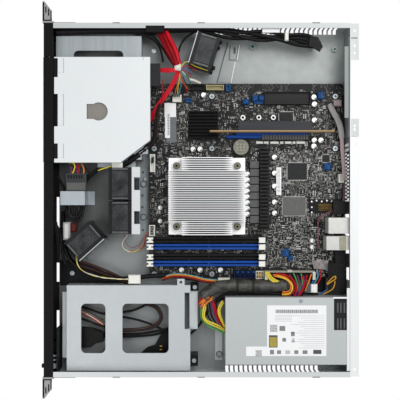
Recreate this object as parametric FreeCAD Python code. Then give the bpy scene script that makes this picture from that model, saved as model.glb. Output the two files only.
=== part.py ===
import FreeCAD, Part
import math
import os

# One-rack-unit server with its cover off, as separate pieces in millimetres.
# +Z is up, the front faces -Y, and the origin is under the middle of the floor.
os.makedirs("parts", exist_ok=True)
vector = FreeCAD.Vector
up = vector(0, 0, 1)

# Clearances
seat_gap = 0.3            # between a piece and the piece that carries it
slide_gap = 0.4           # round a sliding piece
running_gap = 0.05        # radial, shaft in its bearing
plug_gap = 0.1            # each side of a card in its groove

# Sizes that set the body
sheet = 1.0
board_size = 244.0
supply_width = 81.6
supply_depth = 151.0
drive_length = 152.0
card_room = 68.0          # left wall to the board
front_room = 114.0        # body front to the board
loom_channel = 20.4       # board to the power supply
cable_room = 43.0         # right drive bracket to the power supply
supply_wall_gap = 14.0
board_rear_gap = 2.0
right_drive_front = 14.0
body_width = 2 * sheet + card_room + board_size + loom_channel + supply_width + supply_wall_gap
board_side_depth = front_room + board_size + board_rear_gap + sheet
supply_side_depth = right_drive_front + drive_length + cable_room + supply_depth + sheet
body_depth = max(board_side_depth, supply_side_depth)

# Steel body
body_height = 43.5
front_y = -178.0
rim_flange = 6.4
vent_pitch = 5.95
vent_width = 3.9
vent_top = 26.0
vent_floor_reach = 4.6
left_vent_count = 30
right_vent_count = 20
vent_rear_margin = 13.0   # last left slot to the rear edge
right_vent_margin = 36.0  # last right slot to the rear edge
hook_length = 9.0
hook_depth = 1.2
hook_positions = (76.0, 179.0, 319.0)
boss_radius = 4.0
boss_height = 4.0
boss_bore = 1.8
boss_spots = ((21.0, 116.5), (21.5, 42.5), (23.5, 13.0))
vent_hole = 2.3
card_span = (19.0, 134.0)  # card opening from the left wall
card_rise = (19.0, 37.0)
tab_length = 9.8
tab_hole = 1.9
inner_x = body_width / 2 - sheet
rear_y = front_y + body_depth
rear_inner = rear_y - sheet

# Power supply
supply_height = 40.5
supply_skin = 1.2
supply_fan_size = 38.0
supply_fan_depth = 18.0
inlet_width = 27.6
inlet_height = 20.4
inlet_depth = 20.0
inlet_wall = 1.8
inlet_socket_depth = 16.5
inlet_pin_length = 11.0
supply_right = inner_x - supply_wall_gap
supply_left = supply_right - supply_width
supply_bottom = sheet + seat_gap
supply_top = supply_bottom + supply_height
supply_front = rear_inner - supply_depth

# Main board
board_thickness = 1.6
board_corner = 4.0
standoff_height = 6.5
standoff_across = 6.0
screw_radius = 1.5
screw_head_radius = 3.2
screw_head_height = 2.0
screw_rows = (5.1, 162.6, board_size - 16.0)
screw_columns = (10.2, 165.1, board_size - 6.5)
board_right = supply_left - loom_channel
board_left = board_right - board_size
board_rear = rear_inner - board_rear_gap
board_front = board_rear - board_size
board_bottom = sheet + standoff_height
board_top = board_bottom + board_thickness

# Processor and its heatsink
socket_size = 51.0
socket_height = 4.0
processor_size = 37.5
processor_height = 3.4
processor_spot = (102.7, 171.4)
sink_size = 95.0
sink_base = 4.0
sink_top = 38.5
sink_fin = 1.0
sink_fin_count = 36
sink_pocket = 16.5
sink_screw_span = 75.0
sink_screw_radius = 1.6
sink_spring_radius = 3.4
sink_spring_length = 5.0
sink_head_radius = 4.4
sink_head_height = 2.6

# Smaller heatsinks, chokes, capacitors and chips
chipset_spot = (191.6, 175.8)
chipset_size = (34.0, 36.4)
chipset_sink_height = 9.5
regulator_spot = (111.6, 99.6)
regulator_size = (101.9, 12.0)
regulator_sink_height = 13.0
chip_height = 2.2
chip_blocks = ((191.6, 175.8, 26.0, 26.0), (111.6, 99.6, 98.0, 8.0), (133.9, 57.9, 20.8, 24.0),
               (90.1, 61.7, 22.9, 28.3), (202.6, 71.8, 11.2, 16.9), (150.0, 22.0, 9.0, 9.0))
choke_size = (9.2, 11.2, 7.0)
choke_pitch = 9.7
choke_count = 8
choke_spot = (74.0, 112.0)
can_radius = 3.15
can_height = 7.2
can_row = (80.6, 121.0, 7.1)
can_row_count = 8
can_spots = ((board_size - 14.9, 175.4), (161.5, 188.7), (161.5, 180.0), (151.5, 87.0), (131.6, 87.0),
             (115.3, 87.0), (95.4, 87.0), (81.7, 87.0), (board_size - 17.7, 37.8), (board_size - 26.4, 37.2),
             (197.7, 37.2), (172.7, 37.2), (172.7, 29.0), (165.2, 37.8), (10.6, 203.0),
             (10.6, 180.0), (10.6, 154.4))
cell_radius = 10.0
cell_height = 3.2
cell_spot = (164.0, 128.8)
holder_height = 3.0
holder_wall = 1.6

# Memory slots and their latches
slot_length = 130.0
slot_width = 6.5
slot_height = 12.0
slot_groove = 1.6
slot_floor = 4.0
slot_key = 3.4
slot_cheek = 1.3
slot_cheek_height = 9.0
slot_base = 1.5
memory_rows = (48.5, 40.0, 27.7, 19.2)
memory_middle = 172.6
latch_length = 8.2
latch_pivot_height = 4.5
latch_pin_radius = 1.0
latch_stem_radius = 2.6
latch_stem_width = 3.3
latch_head_base = 11.6
latch_head_top = 19.5

# Card slots and riser card
riser_thickness = 1.6
riser_length = 152.0
riser_rear = 16.0
riser_row = 182.1
riser_base = 22.0
riser_top = 40.5
riser_tongue = 86.0
riser_tongue_rear = 48.0
card_slot_length = 89.5
card_slot_width = 7.5
card_slot_height = 11.2
riser_slot_rear = 43.0
riser_slot_drop = 3.0

# Board connectors as (from right edge, from rear edge, width, length, height)
main_plug = (4.9, 69.1, 9.8, 62.0, 22.0)
cpu_plug = (4.9, 105.9, 9.8, 9.6, 12.0)
sata_first = (5.5, 114.6)
sata_pitch = 6.6
sata_size = (9.0, 5.8, 8.5)
sata_count = 4
header_blocks = ((board_size - 5.9, 181.9, 7.4, 16.2, 9.0), (board_size - 5.9, 161.3, 6.2, 22.0, 9.0),
                 (board_size - 18.6, 70.5, 15.8, 57.9, 8.0), (board_size - 19.1, 208.7, 8.6, 11.0, 8.0),
                 (144.0, board_size - 4.8, 22.0, 6.2, 8.5), (59.9, board_size - 4.2, 13.6, 7.0, 8.5),
                 (125.0, 4.0, 10.6, 6.4, 9.0), (board_size - 6.1, 144.8, 8.0, 5.6, 7.0),
                 (board_size - 21.5, 193.8, 5.0, 7.4, 6.0), (board_size - 21.5, 106.5, 8.0, 11.6, 5.0),
                 (69.5, 33.0, 9.0, 7.0, 6.0), (216.5, 17.0, 9.0, 8.0, 6.0))

# Rear ports as (from right edge, width, front and rear ends from the board's rear edge, height)
jack_stacks = ((66.6, 19.3, -23.0, 4.6, 27.5), (45.2, 16.9, -25.5, 4.6, 27.5))
port_block = (88.6, 16.0, -15.0, 4.6, 15.0)
video_port = (22.7, 26.0, -12.0, 4.0, 12.6)
jack_mouth = (11.8, 8.4, 13.0)
bus_mouth = (12.6, 5.2, 12.0)
bus_tongue = 1.8
video_lip = 1.0
port_opening = (board_right - 97.4, board_right + 0.5)
port_clearance = 0.6

# Fans
fan_size = 40.0
fan_depth = 28.0
fan_wall = 1.0
fan_flange = 3.6
fan_recess = 0.6          # flanges stand proud of the housing sides
fan_hub = 10.0
fan_base = 3.0
fan_blades = 7
fan_tip_gap = 0.7
fan_shaft = 1.5
fan_hole = 2.1
fan_strut = 2.4
main_fan_middle = 50.3    # drives on the left to the middle of the pair
main_fan_pitch = 41.3
main_fan_gap = 19.2       # fan outlets to the board's front edge
corner_fan_offset = (55.5, 36.7)
corner_fan_turn = -48.4
side_fan_offset = (31.8, 69.9)
side_fan_turn = -16.7
fan_plate = 0.8
fan_foot = 8.0
fan_middle_z = sheet + seat_gap + fan_size / 2

# Drive brackets
drive_top = 29.2
drive_width = 105.0
drive_window_width = 61.0
drive_window_side = 22.5
drive_windows = ((17.7, 30.0), (68.5, 57.0))
drive_corner = 6.0
drive_step = 8.0
drive_lip = 6.5
drive_lip_span = (9.0, 90.5)
drive_notch = (9.0, 45.0, 7.0)
drive_shelf = 9.0
drive_hole = 1.8
drive_hole_spots = (30.0, 71.5, 131.6)
drive_hole_rise = 8.0
drive_tab = (136.0, 9.0, 8.0)
right_drive_gap = 4.0
left_drive_gap = 12.4
left_drive_front = 1.0
right_drive_left = inner_x - right_drive_gap - drive_width
left_drive_right = -inner_x + left_drive_gap + drive_length

# Optical drive
disc_width = 128.1
disc_height = 12.7
disc_depth = 116.4
disc_skin = 0.8
disc_chamfer = (27.0, 36.0)
disc_left_gap = 40.3
disc_eye = 11.0
disc_eye_spot = (66.2, 54.0)
disc_eye_tab = (18.2, 14.6)
disc_notches = ((1.4, 23.1), (44.8, 39.5), (105.0, 18.5))
disc_notch_depth = 4.2
disc_recess = 59.5
disc_recess_depth = 3.6
disc_platform = 17.5
disc_platform_drop = 0.6
disc_hub = 7.4
disc_face = 12.3
disc_plug = (7.7, 27.5, 11.9, 10.5)
disc_bottom = drive_top + seat_gap
disc_top = disc_bottom + disc_height
disc_left = -inner_x + disc_left_gap
disc_overhang = 4.0       # optical drive past the bracket under it
fan_pair_x = max(left_drive_right, disc_left + disc_width - disc_overhang) + main_fan_middle
eject_size = (8.0, 3.0)
eject_spot = 12.0
eject_travel = 1.0

# Front bezel, ears and front board
bezel_depth = 11.6
bezel_skin = 1.8
bezel_front = front_y - bezel_depth
grille_pitch = 8.6
grille_slot = 5.2
grille_rise = 12.6
grille_bottom = 6.0
grille_gap = 3.4
grille_starts = (14.0 - inner_x, disc_left + disc_width + 9.6)
grille_counts = (11, 19)
grille_row_counts = (1, 2)
slit_spans = ((217.7, 178.1), (134.7, 110.5), (74.5, 35.2))
slit_depth = 3.4
ear_width = 26.3
ear_plate = 2.0
ear_rib = 1.2
ear_web = 2.2
ear_front_gap = 1.4
ear_back = 11.0
ear_low_back = 3.4
ear_slope = 11.5
ear_leg = 26.4
ear_slot_length = 10.0
ear_slot_radius = 3.4
rack_hole_inset = 8.75
rack_hole_z = 15.875
ear_reach = body_width / 2 + ear_width
button_radius = 2.7
button_spot = (inner_x - 10.0, 28.0)
button_reach = 5.0
button_flange = 1.2
button_travel = 1.5
front_board_span = (inner_x - 58.0, inner_x - 3.5)
front_board_rise = (7.0, 37.0)
front_board_thickness = 1.6
front_board_gap = 3.0
front_port_spots = (inner_x - 50.0, inner_x - 34.0)
front_port_size = (13.2, 5.7)
front_light_spots = (inner_x - 22.0, inner_x - 17.0)
front_light_radius = 1.4

# Loose brackets
cable_bracket_span = (right_drive_left - 115.8, right_drive_left - 98.8)
cable_bracket_top = 31.0
cable_bracket_reach = (6.4, 36.5)
cable_bracket_foot = 8.5
wall_plate_top = 42.2
wall_plate_flange = 10.2
wall_plate_foot = 15.0
wall_plate_notch = (15.7, 7.4)

# Cables: diameters, and route points measured from the corner named beside each
loom_diameter = 9.0       # board right edge, supply front
loom_route = ((52.0, 0.0, 26.0), (52.0, -16.0, 26.0), (40.0, -26.5, 27.0), (22.0, -26.5, 27.0),
              (10.0, -16.0, 27.5), (7.0, 3.0, 28.0), (7.5, 27.0, 28.0), (8.5, 51.0, 27.5),
              (6.5, 75.0, 27.0), (0.0, 93.0, 26.0))
wall_cable_diameter = 9.0  # left wall, body front
wall_cable_route = ((8.0, 1.5, 31.0), (7.6, 20.0, 31.4), (6.2, 52.0, 32.0), (6.2, 112.0, 32.0))
thin_cable_diameter = 5.0  # left wall, body front
thin_cable_route = ((4.2, 135.0, 32.0), (4.2, 154.0, 32.0), (3.2, 184.0, 33.0), (5.6, 214.0, 33.4),
                    (10.6, 244.0, 34.0), (16.6, 274.0, 33.0), (24.6, 302.0, 28.0), (24.6, 321.0, 28.0))
panel_cable_diameter = 6.0  # right drive bracket, body front
panel_cable_route = ((-91.0, 6.0, 4.2), (-73.0, 4.8, 4.8), (-49.0, 6.5, 12.0), (-27.0, 18.0, 19.0),
                     (-12.0, 38.0, 22.0), (-7.0, 66.0, 24.0), (-8.0, 94.0, 23.0), (-11.0, 120.0, 19.0),
                     (-11.0, 146.0, 17.0), (-7.0, 172.0, 18.0), (-2.0, 198.0, 20.0))
clip_size = (10.6, 23.0, 15.0)
clip_cap = (2.6, 43.4)    # gap from the wall and top of the clip's upper part
clip_play = 0.2           # between the clip's upper part and the wall flange
data_cable_diameter = 3.4  # left wall, body front
tie_size = (9.0, 9.0, 11.0)
tie_spot = (52.0, 151.0, 34.5)
tie_left = tie_spot[0] - tie_size[0] / 2
tie_right = tie_spot[0] + tie_size[0] / 2
tie_front = tie_spot[1] - tie_size[1] / 2
bundle_route = ((clip_size[0], 131.0, 34.0), (23.5, 131.0, 34.0), (35.5, 151.0, 34.5),
                (tie_left, 151.0, 34.5))
data_route = ((tie_right, 151.0, 34.0), (67.0, 151.0, 34.0), (80.0, 142.0, 31.0), (95.0, 130.5, 27.0),
              (108.0, 119.0, 22.5), (116.5, 108.8, 19.5))
drive_route = ((54.0, tie_front, 36.0), (54.0, sheet + disc_depth + disc_plug[2], 36.0))
lead_diameter = 2.6
main_lead_route = ((41.3, -31.0, 9.0), (52.3, -31.0, 8.6), (60.3, -22.0, 8.6), (56.3, -12.0, 10.0),
                   (46.8, -7.5, 12.6), (39.8, -0.6, 13.0))  # middle of the fan pair, board front
rear_lead_route = ((-212.0, -17.0, 12.5), (-201.0, -17.0, 12.5), (-186.0, -9.0, 15.0), (-160.0, -6.0, 17.0),
                   (-134.0, -12.0, 20.0), (-110.0, -22.0, 18.0), (-90.0, -33.0, 12.5),
                   (-74.0, -33.0, 12.5))  # board right and rear edges


def block(x, y, z):
    """Box between pairs of x, y and z values."""
    corner = vector(min(x), min(y), min(z))
    return Part.makeBox(abs(x[1] - x[0]), abs(y[1] - y[0]), abs(z[1] - z[0]), corner)


def about(middle, size):
    """Pair of values lying evenly about a middle."""
    return (middle - size / 2, middle + size / 2)


def rod(radius, start, end):
    """Cylinder between two points."""
    first = vector(*start)
    line = vector(*end) - first
    return Part.makeCylinder(radius, line.Length, first, line)


def prism(points, z):
    """Plan outline raised between two heights."""
    corners = [vector(x, y, min(z)) for x, y in points]
    face = Part.Face(Part.makePolygon(corners + corners[:1]))
    return face.extrude(up * (max(z) - min(z)))


def many_sided(middle, radius, line, count=6):
    """Bar with flat sides from a middle point along a line."""
    side = line.cross(up if line.x or line.y else vector(1, 0, 0)).normalize()
    other = line.cross(side).normalize()
    corners = []
    for number in range(count):
        turn = math.radians(360 / count * number)
        corners.append(vector(*middle) + (side * math.cos(turn) + other * math.sin(turn)) * radius)
    return Part.Face(Part.makePolygon(corners + corners[:1])).extrude(line)


def join(solids):
    """One solid made from touching solids."""
    return solids[0].fuse(solids[1:]).removeSplitter()


def upright_edges(solid):
    """Edges of a solid that run along Z."""
    edges = []
    for edge in solid.Edges:
        line = edge.Vertexes[-1].Point - edge.Vertexes[0].Point
        if abs(line.z) > 0.99 * line.Length:
            edges.append(edge)
    return edges


def round_upright(solid, radius):
    """Fillet on every upright edge of a solid."""
    return solid.makeFillet(radius, upright_edges(solid))


def placed(solid, turn, spot):
    """Copy of a solid turned about Z and moved to a spot."""
    copy = solid.copy()
    copy.rotate(vector(0, 0, 0), up, turn)
    copy.translate(vector(*spot))
    return copy


def on_board(offset, height=0.0):
    """Point above the board, from its right and rear edges."""
    return (board_right - offset[0], board_rear - offset[1], board_top + height)


def board_block(from_right, from_rear, width, length, height):
    """Box standing on the board about a point from its right and rear edges."""
    x, y, z = on_board((from_right, from_rear))
    return block(about(x, width), about(y, length), (z, z + height))


def comb(width, length, base, top, count, fin):
    """Finned heatsink standing at z = 0, fins along Y."""
    pitch = (width - fin) / (count - 1)
    points = [(-width / 2, 0.0)]
    for number in range(count):
        left = -width / 2 + number * pitch
        foot = base if number else top
        points += [(left, foot), (left, top), (left + fin, top), (left + fin, base)]
    points.pop(1)
    points[-1] = (width / 2, 0.0)
    corners = [vector(x, -length / 2, z) for x, z in points]
    face = Part.Face(Part.makePolygon(corners + corners[:1]))
    return face.extrude(vector(0, length, 0))


def tube(label, points, corner, diameter):
    """Round cable along straight runs and tangent arcs, points measured from a corner."""
    spots = [vector(x + corner[0], y + corner[1], z) for x, y, z in points]
    edges = []
    radii = []
    last = spots[0]
    for before, turn, after in zip(spots, spots[1:], spots[2:]):
        first = (turn - before).normalize()
        second = (after - turn).normalize()
        half = first.getAngle(second) / 2
        reach = 0.45 * min(turn.distanceToPoint(before), after.distanceToPoint(turn))
        radius = reach / math.tan(half)
        inward = (second - first).normalize()
        start = turn - first * reach
        middle = turn + inward * (radius / math.cos(half) - radius)
        end = turn + second * reach
        edges.append(Part.makeLine(last, start))
        edges.append(Part.Arc(start, middle, end).toShape())
        radii.append(round(radius, 1))
        last = end
    edges.append(Part.makeLine(last, spots[-1]))
    path = Part.Wire(edges)
    ring = Part.Wire(Part.makeCircle(diameter / 2, spots[0], spots[1] - spots[0]))
    solid = path.makePipeShell([ring], True, False)
    expected = math.pi * diameter ** 2 / 4 * path.Length
    print(label, "length", round(path.Length, 1), "radii", radii, "fill", round(solid.Volume / expected, 4))
    return solid


def save(name, solids):
    """Write one node as a STEP file."""
    shape = solids[0] if len(solids) == 1 else Part.makeCompound(solids)
    shape.exportStep("parts/" + name + ".step")


# Steel body
def vent_tools(side):
    """Slots through one side wall that wrap into the floor."""
    count = left_vent_count if side < 0 else right_vent_count
    margin = vent_rear_margin if side < 0 else right_vent_margin
    outside = side * (body_width / 2 + 1)
    inside = side * (inner_x - vent_floor_reach)
    rows = [rear_y - margin - number * vent_pitch for number in range(count)]
    return [block((outside, inside), about(y, vent_width), (-1, vent_top)) for y in rows]


def chassis_floor():
    """Floor sheet with vent ends and raised screw bosses."""
    plate = block((-body_width / 2, body_width / 2), (front_y, rear_y), (0, sheet))
    plate = plate.cut(vent_tools(-1) + vent_tools(1))
    bosses = []
    bores = []
    for from_wall, from_rear in boss_spots:
        x = -inner_x + from_wall
        y = rear_y - from_rear
        bosses.append(rod(boss_radius, (x, y, 0), (x, y, sheet + boss_height)))
        bores.append(rod(boss_bore, (x, y, sheet), (x, y, sheet + boss_height + 1)))
    return join([plate] + bosses).cut(bores)


def side_wall(side):
    """Side wall with its rim flange, vent slots and cover hook notches."""
    outer = side * body_width / 2
    edge = side * (body_width / 2 - rim_flange)
    wall = block((outer, side * inner_x), (front_y, rear_y), (sheet, body_height))
    flange = block((outer, edge), (front_y, rear_inner), (body_height - sheet, body_height))
    shell = join([wall, flange])
    notches = []
    for distance in hook_positions:
        y = front_y + distance
        step = (outer + side, outer - side * hook_depth)
        notches.append(block(step, about(y, hook_length), (body_height - sheet, body_height + 1)))
    if side < 0:
        y = front_y + wall_cable_route[-1][1]
        span = (clip_cap[0] - clip_play - inner_x, clip_size[0] - inner_x)
        notches.append(block(span, (y, y + clip_size[1]), (body_height - 2 * sheet, body_height + 1)))
    return shell.cut(vent_tools(side) + notches)


def card_opening():
    """X and Z spans of the expansion card opening in the rear panel."""
    return (-inner_x + card_span[0], -inner_x + card_span[1]), card_rise


def rear_panel():
    """Rear sheet with port, supply, card and air openings and screw tabs."""
    through = (rear_inner - 1, rear_y + 1)
    card_x, card_z = card_opening()
    plate = block((-inner_x, inner_x), (rear_inner, rear_y), (sheet, body_height))
    tab_spans = ((-inner_x, -inner_x + 17.0), (-inner_x + 18.2, -inner_x + 44.0),
                 (card_x[1] - 18.5, card_x[1] + 3.0), (card_x[1] + 4.0, inner_x))
    tabs = []
    tools = []
    for span in tab_spans:
        tabs.append(block(span, (rear_inner, rear_y + tab_length), (body_height - sheet, body_height)))
        for x in {span[0] + 8.5, span[1] - 8.5}:
            spot = rear_y + tab_length / 2
            tools.append(rod(tab_hole, (x, spot, body_height - 2), (x, spot, body_height + 1)))
    tools.append(block((supply_left + 1.5, supply_right - 1.5), through,
                       (supply_bottom + 1.5, supply_top - 1.5)))
    tools.append(block(port_opening, through,
                       (board_top - port_clearance, board_top + jack_stacks[0][4] + port_clearance)))
    tools.append(block(card_x, through, card_z))
    for column in range(9):
        for row in range(4):
            x = card_x[1] + 12.0 + column * 6.0
            z = 12.0 + row * 6.6
            tools.append(many_sided((x, through[0], z), vent_hole, vector(0, through[1] - through[0], 0)))
    return join([plate] + tabs).cut(tools)


def slot_cover():
    """Blank plate behind the card opening with a bent top lip."""
    card_x, card_z = card_opening()
    face = block((card_x[0] - 3, card_x[1] + 3), (rear_inner - sheet, rear_inner),
                 (card_z[0] - 3, card_z[1] + 3))
    lip = block((card_x[0] + 8, card_x[1] - 20), (rear_inner - 6, rear_inner),
                (card_z[1] + 2, card_z[1] + 3))
    return join([face, lip])


# Front
def disc_span():
    """X span of the optical drive."""
    return (disc_left, disc_left + disc_width)


def front_bezel():
    """Hollow plastic front with grilles, drive window and control holes."""
    half = body_width / 2
    outer = block((-half, half), (bezel_front, front_y), (0, body_height))
    hollow = block((-half + bezel_skin, half - bezel_skin), (bezel_front + bezel_skin, front_y + 1),
                   (bezel_skin, body_height - bezel_skin))
    through = (bezel_front - 1, bezel_front + bezel_skin + 1)
    left, right = disc_span()
    tools = [hollow]
    tools.append(block((left - slide_gap, right + slide_gap), (bezel_front - 1, front_y + 1),
                       (disc_bottom - slide_gap, body_height + 1)))
    for start, count, row_count in zip(grille_starts, grille_counts, grille_row_counts):
        for number in range(count):
            for row in range(row_count):
                x = start + number * grille_pitch
                z = grille_bottom + row * (grille_rise + grille_gap)
                tools.append(block((x, x + grille_slot), through, (z, z + grille_rise)))
    for far, near in slit_spans:
        tools.append(block((inner_x - far, inner_x - near), (front_y - slit_depth, front_y + 1),
                           (-1, bezel_skin + 1)))
    x, z = button_spot
    tools.append(rod(button_radius + slide_gap, (x, through[0], z), (x, through[1], z)))
    width, height = front_port_size
    for x in front_port_spots:
        tools.append(block(about(x, width + 2 * seat_gap), through, about(z, height + 2 * seat_gap)))
    for x in front_light_spots:
        tools.append(rod(front_light_radius + seat_gap, (x, through[0], z), (x, through[1], z)))
    return outer.cut(tools)


def rack_ear(side):
    """Rack ear with slotted face, sloped end ribs and a leg along the wall."""
    half = body_width / 2
    face_front = bezel_front - ear_front_gap
    face_back = face_front + ear_plate
    web_outer = half + ear_web
    face = block((side * half, side * ear_reach), (face_front, face_back), (seat_gap, body_height - seat_gap))
    web = block((side * half, side * web_outer), (face_front, front_y), (seat_gap, body_height - seat_gap))
    leg = block((side * half, side * (half + sheet)), (front_y, front_y + ear_leg), (3.0, body_height - 3.0))
    ribs = []
    for reach, bottom in ((ear_low_back, seat_gap), (ear_back, body_height - seat_gap - ear_rib)):
        rib_back = face_front + reach
        outline = [(side * web_outer, face_back), (side * ear_reach, face_back),
                   (side * (ear_reach - ear_slope), rib_back), (side * web_outer, rib_back)]
        ribs.append(prism(outline, (bottom, bottom + ear_rib)))
    rack_hole_x = ear_reach - rack_hole_inset
    tools = []
    for step in (-1, 1):
        z = body_height / 2 + step * rack_hole_z
        reach = ear_slot_length / 2 - ear_slot_radius
        ends = [side * rack_hole_x - reach, side * rack_hole_x + reach]
        tools.append(block(ends, (face_front - 1, face_back + 0.5), about(z, 2 * ear_slot_radius)))
        for x in ends:
            tools.append(rod(ear_slot_radius, (x, face_front - 1, z), (x, face_back + 0.5, z)))
    return join([face, web, leg] + ribs).cut(tools)


def power_button():
    """Round button with a collar behind the bezel."""
    x, z = button_spot
    inside = bezel_front + bezel_skin
    tip = bezel_front - button_reach
    cap = rod(button_radius, (x, tip, z), (x, inside + seat_gap + 2, z))
    collar = rod(button_radius + button_flange, (x, inside + seat_gap, z), (x, inside + seat_gap + 2, z))
    dish = rod(button_radius - 0.9, (x, tip - 1, z), (x, tip + 0.4, z))
    return join([cap, collar]).cut(dish)


def front_board():
    """Upright front board with its ports, lights and button switch."""
    face = front_y + front_board_gap
    plate = block(front_board_span, (face, face + front_board_thickness), front_board_rise)
    x, z = button_spot
    solids = [plate]
    width, height = front_port_size
    for port in front_port_spots:
        shell = block(about(port, width), (bezel_front, face), about(z, height))
        mouth = block(about(port, width - 0.8), (bezel_front - 1, bezel_front + 9), about(z, height - 0.8))
        tongue = block(about(port, width - 2.4), (bezel_front + 1, bezel_front + 10), (z, z + 1.8))
        solids.append(join([shell.cut(mouth), tongue]))
    for light in front_light_spots:
        solids.append(rod(front_light_radius, (light, bezel_front, z), (light, face, z)))
    inside = bezel_front + bezel_skin + seat_gap + 2
    solids.append(block(about(x, 6.0), (inside + button_travel + seat_gap, face), about(z, 6.0)))
    return solids


# Drives
def drive_bracket():
    """Drive cage at its own corner: width along X, length along Y."""
    top = block((0, drive_width), (0, drive_length), (drive_top - sheet, drive_top))
    window_x = (drive_window_side, drive_window_side + drive_window_width)
    tools = []
    for start, length in drive_windows:
        window = block(window_x, (start, start + length), (drive_top - 5, drive_top + 5))
        tools.append(round_upright(window, drive_corner))
    from_left, length, depth = drive_notch
    tools.append(block((from_left, from_left + length), (drive_length - depth, drive_length + 1),
                       (drive_top - 5, drive_top + 5)))
    legs = [block((0, sheet), (0, drive_length), (sheet, drive_top)),
            block((drive_width - sheet, drive_width), (0, drive_length), (sheet, drive_top))]
    step_z = drive_top - drive_step
    step = block(drive_lip_span, (0, sheet), (step_z, drive_top))
    lip = block(drive_lip_span, (-drive_lip, sheet), (step_z - sheet, step_z))
    shelf = block((from_left - sheet, from_left + length + sheet),
                  (drive_length - sheet, drive_length + drive_shelf), (step_z - sheet, step_z))
    cheeks = []
    for x in (from_left - sheet, from_left + length):
        cheeks.append(block((x, x + sheet), (drive_length - depth, drive_length),
                            (step_z - sheet, drive_top)))
    start, length, reach = drive_tab
    tab = block((-reach, sheet), (start, start + length), (drive_top - sheet, drive_top))
    spot = (-reach / 2, start + length / 2)
    holes = [rod(drive_hole, (*spot, 0), (*spot, drive_top + 1))]
    for y in drive_hole_spots:
        holes.append(rod(drive_hole, (-1, y, drive_hole_rise), (drive_width + 1, y, drive_hole_rise)))
    return join([top.cut(tools), step, lip, shelf, tab] + cheeks + legs).cut(holes)


def disc_outline(inset, front, rear):
    """Plan outline of the optical drive with its cut corner."""
    left, right = disc_span()
    cut_x, cut_y = disc_chamfer
    shift = inset * 0.42
    return [(left + inset, front), (right - inset, front), (right - inset, rear - cut_y - shift),
            (right - cut_x - shift, rear - inset), (left + inset, rear - inset)]


def disc_case():
    """Thin drive shell, open at the front, with its round eye and front notches."""
    front = front_y + sheet
    rear = front + disc_depth
    left = disc_left
    outer = prism(disc_outline(0, front, rear), (disc_bottom, disc_top))
    hollow = prism(disc_outline(disc_skin, front - 1, rear), (disc_bottom + disc_skin, disc_top - disc_skin))
    through = (disc_top - disc_skin - 0.2, disc_top + 1)
    eye_x = left + disc_eye_spot[0]
    eye_y = front + disc_eye_spot[1]
    tools = [hollow, rod(disc_eye, (eye_x, eye_y, through[0]), (eye_x, eye_y, through[1]))]
    tools.append(block(about(eye_x, disc_eye_tab[0]), (eye_y - disc_eye_tab[1], eye_y), through))
    for start, length in disc_notches:
        notch_x = (left + start, left + start + length)
        tools.append(block(notch_x, (front - 1, front + disc_notch_depth), through))
    plug_x, plug_width, plug_depth, plug_height = disc_plug
    plug = block((left + plug_x, left + plug_x + plug_width), (rear, rear + plug_depth),
                 (disc_top - 1 - plug_height, disc_top - 1))
    return [outer.cut(tools), plug]


def disc_tray():
    """Sliding tray with a disc recess and spindle hub."""
    front = front_y + sheet
    rear = front + disc_depth - 6
    gap = disc_skin + slide_gap
    plate = prism(disc_outline(gap, front_y, rear), (disc_bottom + gap, disc_top - disc_skin - 1.2))
    top = disc_top - disc_skin - 1.2
    middle = (disc_left + disc_eye_spot[0], front + disc_eye_spot[1])
    recess = rod(disc_recess, (*middle, top - disc_recess_depth), (*middle, top + 1))
    floor = top - disc_recess_depth - 1
    platform = rod(disc_platform, (*middle, floor), (*middle, top - disc_platform_drop))
    hub = rod(disc_hub, (*middle, floor), (*middle, top))
    return join([plate.cut(recess), platform, hub])


def eject_x():
    """X span of the eject button hole."""
    return about(disc_span()[1] - eject_spot, eject_size[0])


def disc_face_plate():
    """Drive front with its eject button hole, carried by the tray."""
    left, right = disc_span()
    face = block((left, right), (front_y - disc_face, front_y), (disc_bottom, disc_top))
    middle_z = (disc_bottom + disc_top) / 2
    span = eject_x()
    hole = block((span[0] - slide_gap, span[1] + slide_gap), (front_y - disc_face - 1, front_y - 4),
                 about(middle_z, eject_size[1] + 2 * slide_gap))
    groove = block((left + 6, right - 24), (front_y - disc_face - 1, front_y - disc_face + 0.8),
                   about(middle_z, 1.0))
    return face.cut([hole, groove])


def eject_button():
    """Small drive button inside the drive front."""
    middle_z = (disc_bottom + disc_top) / 2
    back = front_y - 4 - eject_travel - seat_gap
    return block(eject_x(), (front_y - disc_face - 0.6, back), about(middle_z, eject_size[1]))


# Fans
def fan_frame(size, depth):
    """Square fan housing with struts and a bearing tube, axis along Y."""
    bore = size / 2 - fan_wall
    ends = (-depth / 2, depth / 2)
    side = size - 2 * fan_recess
    body = block(about(0, side), ends, about(0, side))
    flanges = [block(about(0, size), (ends[0], ends[0] + fan_flange), about(0, size)),
               block(about(0, size), (ends[1] - fan_flange, ends[1]), about(0, size))]
    tools = [rod(bore, (0, ends[0] - 1, 0), (0, ends[1] + 1, 0))]
    spot = size * 0.4
    for x in (-spot, spot):
        for z in (-spot, spot):
            tools.append(rod(fan_hole, (x, ends[0] - 1, z), (x, ends[1] + 1, z)))
    housing = join([body] + flanges).cut(tools)
    base = ends[1] - fan_base
    hub = rod(fan_hub, (0, base, 0), (0, ends[1], 0))
    bearing = rod(3.0, (0, ends[0] + 5, 0), (0, ends[1], 0))
    motor = rod(fan_hub - 3.0, (0, ends[0] + 7, 0), (0, base - 2, 0))
    struts = []
    for turn in (20, 110, 200, 290):
        strut = block(about(0, fan_strut), (base, ends[1]), (fan_hub - 1, bore + 0.3))
        strut.rotate(vector(0, 0, 0), vector(0, 1, 0), turn)
        struts.append(strut)
    shaft_bore = rod(fan_shaft + running_gap, (0, ends[0], 0), (0, ends[1] - 1, 0))
    return join([housing, hub, bearing, motor] + struts).cut(shaft_bore)


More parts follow.
